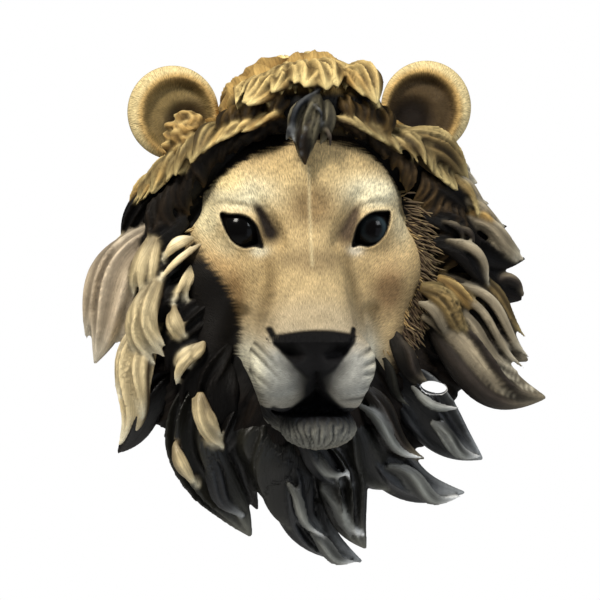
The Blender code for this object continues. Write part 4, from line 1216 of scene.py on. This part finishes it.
# Masses behind the locks, given as those of the head are, and the cell of their mesh
BASE_FORMS = (
    ((0.0, 0.0, 4.0), (108.0, 82.0, 130.0), 0.0, False),
    ((0.0, -48.0, -4.0), (136.0, 28.0, 143.0), 0.0, False),
    ((70.0, -42.0, 16.0), (58.0, 42.0, 98.0), 0.0, True),
    ((1.0, -48.0, 139.0), (64.0, 54.0, 56.0), 0.0, False),
    ((0.0, -50.0, 112.0), (100.0, 50.0, 50.0), 0.0, False),
    ((0.0, -96.0, 152.0), (60.0, 22.0, 18.0), 0.0, False),
    ((0.0, -45.0, -62.0), (88.0, 56.0, 70.0), 0.0, False),
    ((91.0, -58.0, 30.0), (18.0, 26.0, 46.0), 0.0, True),
)
# Cell of the mesh of this bulk
BASE_CELL = 2.0
# Half width and height of the smooth hollow round the face, painted darkest as shade, and the height of its
# middle
HOLLOW_HALF = (125.0, 108.0)
HOLLOW_MIDDLE = 50.0
# The millimetres that its combing spreads for each radian round the head
BASE_SPREAD = 110.0


def paint_base(points, relief, hollow):
    """Near black as painted shade between the locks, with a gold crown, a browner right side and the
    darkest painted shade round the face.
    """
    x, y, z = points.T
    colour = mix(np.tile(linear("#070504"), (len(points), 1)), linear("#1a130d"), relief)
    crown = smooth_step(120.0, 150.0, z) * smooth_step(-110.0, -94.0, y)
    crown = np.maximum(crown, smooth_step(156.0, 166.0, z))
    colour = mix(colour, mix(linear("#6e5127"), linear("#c9a766"), relief), crown)
    # Painted shade: darkest in the hollow round the face, below the crown
    colour = mix(colour, linear("#050403"), hollow * (1.0 - crown))
    right = smooth_step(60.0, 110.0, x) * smooth_step(-60.0, -20.0, z) * smooth_step(60.0, 20.0, z)
    return mix(colour, mix(colour, linear("#4a3c2e"), relief), right)


def build_mane_base():
    """The bulk behind the locks, with the flat back."""
    deselect()
    seeds = [add_ball(centre, radii, roll) for centre, radii, roll in both_sides(BASE_FORMS)]
    seeds.append(tube_mesh("hood", hood_rings()))
    ob = join(seeds, "mane_base")
    settle(ob, "REMESH", mode="VOXEL", voxel_size=BASE_CELL, adaptivity=0.0)
    settle(ob, "SMOOTH", factor=0.5, iterations=4)
    cut_back(ob, 0.0)
    points = points_of(ob)
    x, y, z = points.T
    relief = tuft_relief(points)
    hollow = np.hypot(x / HOLLOW_HALF[0], (z - HOLLOW_MIDDLE) / HOLLOW_HALF[1])
    hollow = smooth_step(1.2, 1.0, hollow) * smooth_step(-30.0, -50.0, y)
    free = smooth_step(-1.0, -14.0, y) * (1.0 - hollow)
    put_points(ob, points + normals_of(ob) * (relief * free * TUFT_HIGH)[:, None])
    settle(ob, "SMOOTH", factor=0.5, iterations=1)
    set_paint(ob, paint_base(points, relief, hollow))
    turn = np.arctan2(x, z - MANE_MIDDLE)
    set_run(ob, np.stack([turn * BASE_SPREAD, np.hypot(x, z - MANE_MIDDLE) + 0.7 * y], axis=1))
    smooth_mesh(ob)
    return ob


# Airbrushed patches of the face: x, z, reach in x and z, colour, strength
FACE_DABS = (
    (0, 95, 60, 22, "#d8bd86", 0.6),
    (0, 20, 34, 40, "#cfb686", 0.7),
    (0, -10, 40, 16, "#c8b592", 0.8),
    (-50, 84, 24, 12, "#f8edc6", 1.0),
    (53, 86, 24, 12, "#f5ebc6", 0.95),
    (-74, 66, 9, 15, "#f3e6ba", 0.85),
    (-60, 46, 10, 9, "#eddcae", 0.7),
    (75, 60, 8, 15, "#f1e4bb", 0.75),
    (4, 76, 17, 15, "#674d2c", 0.7),
    (4, 34, 27, 9, "#7c6849", 0.6),
    (-70, 22, 16, 20, "#b89360", 0.6),
    (70, 38, 16, 20, "#d2b684", 0.6),
    (0, -92, 60, 26, "#8f9490", 0.85),
    (-26, -52, 26, 26, "#b9b9b0", 1.0),
    (30, -52, 28, 26, "#c2c1b8", 1.0),
    (-45, -46, 9, 20, "#efead0", 0.9),
    (51, -44, 9, 22, "#eee9d2", 0.85),
    # black paint below the nose, spread wide as painted shade between the pads
    (2, -62, 12, 15, "#0a0809", 1.0),
    # pale rims of the lower lids at the inner corners, bright as painted glints too
    (-35, 41, 6, 4, "#fff4d2", 0.9),
    (38, 42, 6, 4, "#f6ead0", 0.8),
    (65, 12, 12, 17, "#84613e", 0.7),
    (-54, 8, 8, 18, "#85643a", 0.65),
    (-58, 94, 12, 9, "#e6cf94", 0.7),
)
# Dark marks over the inner corners of the eyes: dark brown paint that is also painted shade in the hollow
# beside each eye
BROW_MARKS = (
    (((-40, 80), (-33, 68), (-27, 55)), "#1d140c"),
    (((41, 78), (36, 66), (31, 54)), "#5a4a38"),
)
# The pale line down the forehead
FOREHEAD_LINE = ((2, 104), (2, 60), (2, 30))
# Shaded lines down both sides of the nose bridge
BRIDGE_SHADES = (
    ((-31, 42), (-27, 22), (-31, 2), (-39, -18)),
    ((27, 50), (32, 30), (39, 8), (44, -16)),
)


# Where the fur of the face fans out from, and the millimetres it spreads for each radian
FUR_MIDDLE = -60.0
FUR_SPREAD = 120.0


def paint_brows(points, flat, colour):
    """Marks at the brows, partly painted shade, shade painted beside the bridge and the pale line between.
    """
    front = points[:, 1] < -90.0
    for line, shade in BROW_MARKS:
        gap, along = line_gap(flat, line)
        near = smooth_step(1.6, 0.3, gap / (2.4 + 5.4 * along))
        near = near * (0.4 + 0.6 * smooth_step(0.0, 0.3, along))
        colour = mix(colour, linear(shade), near * front)
    for line in BRIDGE_SHADES:
        gap, along = line_gap(flat, line)
        near = soft_ridge(gap, 4.5) * np.sin(math.pi * np.clip(along, 0.03, 0.97)) ** 0.5
        colour = mix(colour, linear("#87704a"), 0.6 * near * front)
    gap, _ = line_gap(flat, FOREHEAD_LINE)
    return mix(colour, linear("#ead9ab"), soft_ridge(gap, 1.3) * 0.45)


def paint_nose(points, flat, colour):
    """Black leather and nostrils, with the dark that runs down from them to the lip: black paint deepened
    as painted shade between the pads.
    """
    front = points[:, 1] < -130.0
    gap = inside_gap(flat, NOSE_LEATHER)
    colour = mix(colour, linear("#070506"), smooth_step(2.2, -0.6, gap) * front)
    # Painted shade below the nose, over the inner tops of the pads
    low = smooth_step(14.0, 0.0, gap) * smooth_step(-30.0, -46.0, points[:, 2]) * front
    colour = mix(colour, linear("#141315"), low * 0.8)
    for hand in (-1.0, 1.0):
        slit, _ = line_gap(flat, handed(NOSTRIL[:1] + NOSTRIL[2:], hand))
        colour = mix(colour, linear("#0c0a0b"), smooth_step(3.4, 1.4, slit) * front)
    return colour


def paint_mouth(points, flat, colour):
    """Black lips with the open mouth between them painted black as its shade too, and a grey beard that is
    darker under them, as painted shade, and between its strands.
    """
    x, y, z = points.T
    # The open mouth painted black: black lips, and painted shade in the gap
    colour = mix(colour, linear("#0a090b"), smooth_step(3.5, 0.0, inside_gap(flat, MOUTH)))
    chin = (np.abs(x - 4.0) < 42.0) & (z < -76.0) & (y < -96.0)
    # Painted shade on the top of the chin, under the lower lip
    colour = mix(colour, linear("#121114"), chin * smooth_step(-99.0, -84.0, z) * 0.95)
    between = smooth_step(0.1, -0.9, beard_comb(points)) * chin
    return mix(colour, linear("#3b3d40"), between * 0.8)


def paint_cheeks(points, flat, colour):
    """Painted shade on the cheeks, behind a ragged edge of the pale face, and above the hairline: black on
    the left, where the cheek lies in shadow, and dark brown and softer on the right, dark fur shaded too.
    """
    x, y, z = points.T
    right = x > 0.0
    ragged = inside_gap(flat, PALE_FACE) + 1.3 * np.sin(z * 1.7 + 2.1 * np.sin(z * 0.53))
    ragged += 0.8 * np.sin(z * 3.1 + 0.6 * x)
    dark = np.where(right, smooth_step(2.0, 22.0, ragged), smooth_step(-3.0, 5.0, ragged))
    dark = dark * smooth_step(66.0, 30.0, z)
    # Above the hairline the skin is painted dark, as the shade of the hollow under the hair
    dark = np.where(z > 84.0, smooth_step(-1.0, 2.5, ragged), dark)
    return mix(colour, np.where(right[:, None], linear("#2c2117"), linear("#0f0b08")), dark)


def paint_face(ob):
    points = points_of(ob)
    flat = points[:, [0, 2]]
    colour = np.tile(linear("#c6ab7a"), (len(points), 1))
    for x, z, wide, tall, shade, strength in FACE_DABS:
        near = np.exp(-((points[:, 0] - x) / wide) ** 2 - ((points[:, 2] - z) / tall) ** 2)
        colour = mix(colour, linear(shade), np.clip(near * 1.35, 0.0, 1.0) * strength)
    for brush in (paint_brows, paint_nose, paint_mouth, paint_cheeks):
        colour = brush(points, flat, colour)
    for outline, _ in EYE_OPENINGS:
        near = smooth_step(1.1, 0.0, inside_gap(flat, outline)) * (points[:, 1] < EYE_FRONT)
        colour = mix(colour, linear("#0d0b0b"), near)
    for line in WHISKER_CREASES:
        gap, along = line_gap(flat, line)
        near = soft_ridge(gap, 1.4) * (1.0 - 0.7 * along) * smooth_step(*CREASE_FADE, points[:, 1])
        colour = mix(colour, linear("#26241f"), near)
    set_paint(ob, colour)
    turn = np.arctan2(points[:, 0], points[:, 2] - FUR_MIDDLE)
    reach = np.hypot(points[:, 0], points[:, 2] - FUR_MIDDLE)
    set_run(ob, np.stack([turn * FUR_SPREAD, reach], axis=1))
    smooth_mesh(ob)


# The eyes: centre, where they look in x and z, and the colour of the iris
EYE_RADIUS = 19.0
EYES = (
    ("eye_left", (-48.5, -94.5, 57.0), (-50.0, 58.0), "#0a0b0c"),
    ("eye_right", (50.5, -94.5, 58.0), (52.0, 58.0), "#2c383d"),
)
# The ears: hand, middle, turn, and the colours of the cup and of its deepest part; the right ear's colours
# are darker as painted shade, and the deepest part is dark paint that is also painted shade
EAR_RADII = (35.5, 15.0, 36.5)
EARS = (
    ("ear_left", -1.0, (-98.5, -60.0, 149.5), -8.0, "#8f7a4e", "#3d2c18"),
    ("ear_right", 1.0, (99.5, -60.0, 155.0), 8.0, "#56452c", "#1f160e"),
)


def build_eye(name, centre, look, iris):
    """A glossy ball with a dark iris, paler on one side."""
    deselect()
    ob = add_ball(centre, (EYE_RADIUS, EYE_RADIUS, EYE_RADIUS), 0.0, 64, 40)
    bpy.ops.object.transform_apply(location=True, rotation=True, scale=True)
    points = points_of(ob)
    off = np.hypot(points[:, 0] - look[0], points[:, 2] - look[1])
    ring = smooth_step(5.5, 8.5, off) * smooth_step(11.5, 9.5, off) * (points[:, 1] < centre[1])
    side = smooth_step(0.0, 9.0, points[:, 0] - look[0])
    colour = np.tile(linear("#070606"), (len(points), 1))
    set_paint(ob, mix(colour, linear(iris), ring * (0.15 + 0.85 * side)))
    ob.name = name
    ob.data.name = name
    smooth_mesh(ob)
    return ob


def build_ear(name, hand, middle, turn, inner, deep):
    """A rounded ear: a narrow furred rim around a cup that is deepest low down, near the head."""
    deselect()
    ob = add_ball((0.0, 0.0, 0.0), EAR_RADII, 0.0, 96, 64)
    bpy.ops.object.transform_apply(location=True, rotation=True, scale=True)
    points = points_of(ob)
    reach = np.hypot(points[:, 0] + 3.5 * hand, (points[:, 2] + 3.5) * 0.95)
    pit = np.hypot(points[:, 0] + 10.0 * hand, points[:, 2] + 11.0)
    facing = smooth_step(2.0, -4.0, points[:, 1])
    points[:, 1] += facing * (12.0 * smooth_step(29.5, 21.0, reach) + 8.0 * smooth_step(22.0, 8.0, pit))
    angle = np.arctan2(points[:, 0], points[:, 2])
    comb = np.cos(angle * 64.0 + 2.0 * np.sin(angle * 7.0)) * smooth_step(12.0, 28.0, reach)
    points[:, 1] -= facing * 0.5 * comb
    colour = np.tile(linear("#c9a668"), (len(points), 1))
    colour = mix(colour, linear("#efdca6"), smooth_step(29.0, 34.0, reach) * 0.8)
    # The cup's colour, darker in the right ear as painted shade, and its deepest part painted dark as shade
    # too
    colour = mix(colour, linear(inner), facing * smooth_step(29.0, 24.5, reach))
    colour = mix(colour, linear(deep), facing * smooth_step(23.0, 9.0, pit))
    colour = mix(colour, linear("#3a2a1a"), (1.0 - facing) * 0.6)
    cos, sin = math.cos(math.radians(turn)), math.sin(math.radians(turn))
    x = points[:, 0] * cos + points[:, 2] * sin
    z = -points[:, 0] * sin + points[:, 2] * cos
    run = np.stack([angle * 30.0, reach], axis=1)
    points = np.stack([x, points[:, 1], z], axis=1) + np.array(middle)
    put_points(ob, points)
    ob.name = name
    ob.data.name = name
    set_paint(ob, colour)
    set_run(ob, run)
    smooth_mesh(ob)
    return ob


def add_node(tree, kind, settings=None, links=None):
    """One shader node with its settings, and its inputs linked from other nodes."""
    node = tree.nodes.new(kind)
    for key, value in (settings or {}).items():
        if key in node.inputs:
            node.inputs[key].default_value = value
        else:
            setattr(node, key, value)
    for key, source in (links or {}).items():
        tree.links.new(source, node.inputs[key])
    return node


# All hair here is polyurethane resin, poured in a silicone mould that keeps each tool mark and
# painted by hand with acrylics. It gives the eye a dark wash in the hollows, darkened further
# as painted shade, paler colour dry-brushed over the crests, and soft broad light with no sharp
# gloss. Each finish has strands to a centimetre across the hair and breaks along it, their relief
# in metres, roughness, specular level, and how dark and pale they go. Real hairs are 0.1 mm wide
# and a pixel is 0.8 mm, so the strands are drawn as coarse as they need to show, 0.8 to 1.4 mm wide.
SHORT_FUR = ("painted_resin_short_fur", 13.0, 2.8, 0.0012, 0.62, 0.2, 0.5, 1.3)
COMBED_HAIR = ("painted_resin_combed_hair", 11.0, 0.5, 0.0008, 0.6, 0.16, 0.7, 1.22)
# The lower mane is sealed with a satin varnish, so its dark locks catch long grey glints
SATIN_HAIR = ("painted_resin_satin_hair", 7.0, 0.4, 0.0006, 0.4, 0.42, 0.75, 1.2)
# Clouds of thicker and thinner paint left by the brush, 11 mm across
CLOUDS_PER_METRE = 90.0


def hair_paint(name, strands_per_cm, breaks_per_cm, relief, roughness, specular, dark, pale):
    material = bpy.data.materials.new(name)
    material.use_nodes = True
    tree = material.node_tree
    shader = tree.nodes["Principled BSDF"]
    paint = add_node(tree, "ShaderNodeAttribute", {"attribute_name": "paint"})
    run = add_node(tree, "ShaderNodeUVMap", {"uv_map": "hair_run"})
    stretch = add_node(tree, "ShaderNodeMapping",
                       {"Scale": (strands_per_cm / 10.0, breaks_per_cm / 10.0, 1.0)},
                       {"Vector": run.outputs["UV"]})
    strands = add_node(tree, "ShaderNodeTexNoise", {"Scale": 1.0, "Detail": 3.0, "Roughness": 0.6},
                       {"Vector": stretch.outputs["Vector"]})
    place = add_node(tree, "ShaderNodeTexCoord")
    clouds = add_node(tree, "ShaderNodeTexNoise", {"Scale": CLOUDS_PER_METRE, "Detail": 4.0},
                      {"Vector": place.outputs["Object"]})
    shades = []
    for noise, low, high in ((strands, dark, pale), (clouds, 0.85, 1.12)):
        shades.append(add_node(tree, "ShaderNodeMapRange",
                               {"From Min": 0.3, "From Max": 0.7, "To Min": low, "To Max": high},
                               {"Value": noise.outputs["Fac"]}))
    both = add_node(tree, "ShaderNodeMath", {"operation": "MULTIPLY"},
                    {0: shades[0].outputs["Result"], 1: shades[1].outputs["Result"]})
    tinted = add_node(tree, "ShaderNodeVectorMath", {"operation": "SCALE"},
                      {0: paint.outputs["Color"], "Scale": both.outputs["Value"]})
    tree.links.new(tinted.outputs["Vector"], shader.inputs["Base Color"])
    bump = add_node(tree, "ShaderNodeBump", {"Strength": 1.0, "Distance": relief},
                    {"Height": strands.outputs["Fac"]})
    tree.links.new(bump.outputs["Normal"], shader.inputs["Normal"])
    shader.inputs["Roughness"].default_value = roughness
    shader.inputs["IOR"].default_value = 1.5
    shader.inputs["Specular IOR Level"].default_value = specular
    return material


def gloss_eye():
    """Gloss enamel over black and blue-grey paint, brushed on smooth: a wet look, a small glint."""
    material = bpy.data.materials.new("gloss_black_eye")
    material.use_nodes = True
    tree = material.node_tree
    shader = tree.nodes["Principled BSDF"]
    paint = add_node(tree, "ShaderNodeAttribute", {"attribute_name": "paint"})
    tree.links.new(paint.outputs["Color"], shader.inputs["Base Color"])
    shader.inputs["Roughness"].default_value = 0.13
    shader.inputs["IOR"].default_value = 1.45
    shader.inputs["Specular IOR Level"].default_value = 0.12
    return material


def finish_piece(ob, material):
    ob.data.materials.clear()
    ob.data.materials.append(material)
    ob.data.transform(((MM, 0, 0, 0), (0, MM, 0, 0), (0, 0, MM, 0), (0, 0, 0, 1)))
    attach(ob, "root")
    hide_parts("lion_head")


# Lamps: place, what they shine on and size in metres, then watts and colour
LAMPS = (
    ("key", (-0.85, -1.4, 1.75), (0, 0, 0.05), 0.6, 66.0, (1.0, 0.95, 0.86)),
    ("right", (1.1, -1.3, 0.9), (0, 0, -0.03), 0.5, 13.0, (0.93, 0.96, 1.0)),
    ("fill", (1.4, -1.6, -0.3), (0, 0, 0), 1.2, 4.0, (0.80, 0.88, 1.0)),
)
# The camera: focal length and frame in pixels, film width, turn, aim and distance in metres
FOCAL_PIXELS = 2487.0
FRAME_PIXELS = 600.0
FILM_MM = 36.0
VIEW_TURN = -5.0
VIEW_AIM = (0.0056, 0.0, 0.004)
VIEW_DISTANCE = 2.0
# The floor: size and height in metres
FLOOR_SIZE = 12.0
FLOOR_HEIGHT = -1.2


def light(name, place, aim, size, power, colour):
    lamp = bpy.data.lights.new(name, "AREA")
    lamp.size = size
    lamp.energy = power
    lamp.color = colour
    ob = bpy.data.objects.new(name, lamp)
    ob.location = place
    ob.rotation_euler = (Vector(aim) - Vector(place)).to_track_quat("-Z", "Y").to_euler()
    bpy.context.scene.collection.objects.link(ob)


def pale_room():
    """White behind the head, and a weaker, cooler light all round it."""
    world = bpy.data.worlds.new("pale_room")
    bpy.context.scene.world = world
    world.use_nodes = True
    tree = world.node_tree
    tree.nodes.clear()
    seen = add_node(tree, "ShaderNodeBackground", {"Color": (1, 1, 1, 1), "Strength": 1.0})
    glow = add_node(tree, "ShaderNodeBackground", {"Color": (0.9, 0.95, 1, 1), "Strength": 0.16})
    path = add_node(tree, "ShaderNodeLightPath")
    pick = add_node(tree, "ShaderNodeMixShader", {},
                    {0: path.outputs["Is Camera Ray"], 1: glow.outputs[0], 2: seen.outputs[0]})
    add_node(tree, "ShaderNodeOutputWorld", {}, {"Surface": pick.outputs[0]})


def pale_floor():
    """Matt painted board, rolled on smooth: an even light grey that shows nothing of its own."""
    bpy.ops.mesh.primitive_plane_add(size=FLOOR_SIZE, location=(0, 0, FLOOR_HEIGHT))
    floor = bpy.context.active_object
    floor.name = "floor"
    pale = bpy.data.materials.new("pale_floor")
    pale.use_nodes = True
    shader = pale.node_tree.nodes["Principled BSDF"]
    shader.inputs["Base Color"].default_value = (*linear("#ededed"), 1.0)
    floor.data.materials.append(pale)


def add_camera():
    lens = bpy.data.cameras.new("camera")
    lens.sensor_width = FILM_MM
    lens.lens = FOCAL_PIXELS / FRAME_PIXELS * FILM_MM
    camera = bpy.data.objects.new("camera", lens)
    turn = math.radians(VIEW_TURN)
    back = np.array((math.sin(turn), -math.cos(turn), 0.0))
    camera.location = np.array(VIEW_AIM) + VIEW_DISTANCE * back
    camera.rotation_euler = (math.radians(90.0), 0.0, turn)
    bpy.context.scene.collection.objects.link(camera)
    bpy.context.scene.camera = camera


def studio():
    bpy.context.scene.view_settings.view_transform = "Standard"
    for lamp in LAMPS:
        light(*lamp)
    pale_room()
    pale_floor()
    add_camera()


def main():
    face = build_face()
    paint_face(face)
    fur = hair_paint(*SHORT_FUR)
    hair = hair_paint(*COMBED_HAIR)
    satin = hair_paint(*SATIN_HAIR)
    finish_piece(face, fur)
    base = build_mane_base()
    open_gap(base)
    finish_piece(base, hair)
    locks = mane_locks(face)
    for part in ("crown", "left", "right", "lower", "fur"):
        ob = locks_object("mane_" + part, locks[part])
        if part != "fur":
            grow_together(ob)
        if part in ("right", "lower"):
            open_gap(ob)
        finish_piece(ob, satin if part == "lower" else hair)
    gloss = gloss_eye()
    for row in EYES:
        finish_piece(build_eye(*row), gloss)
    for row in EARS:
        finish_piece(build_ear(*row), fur)
    studio()


main()
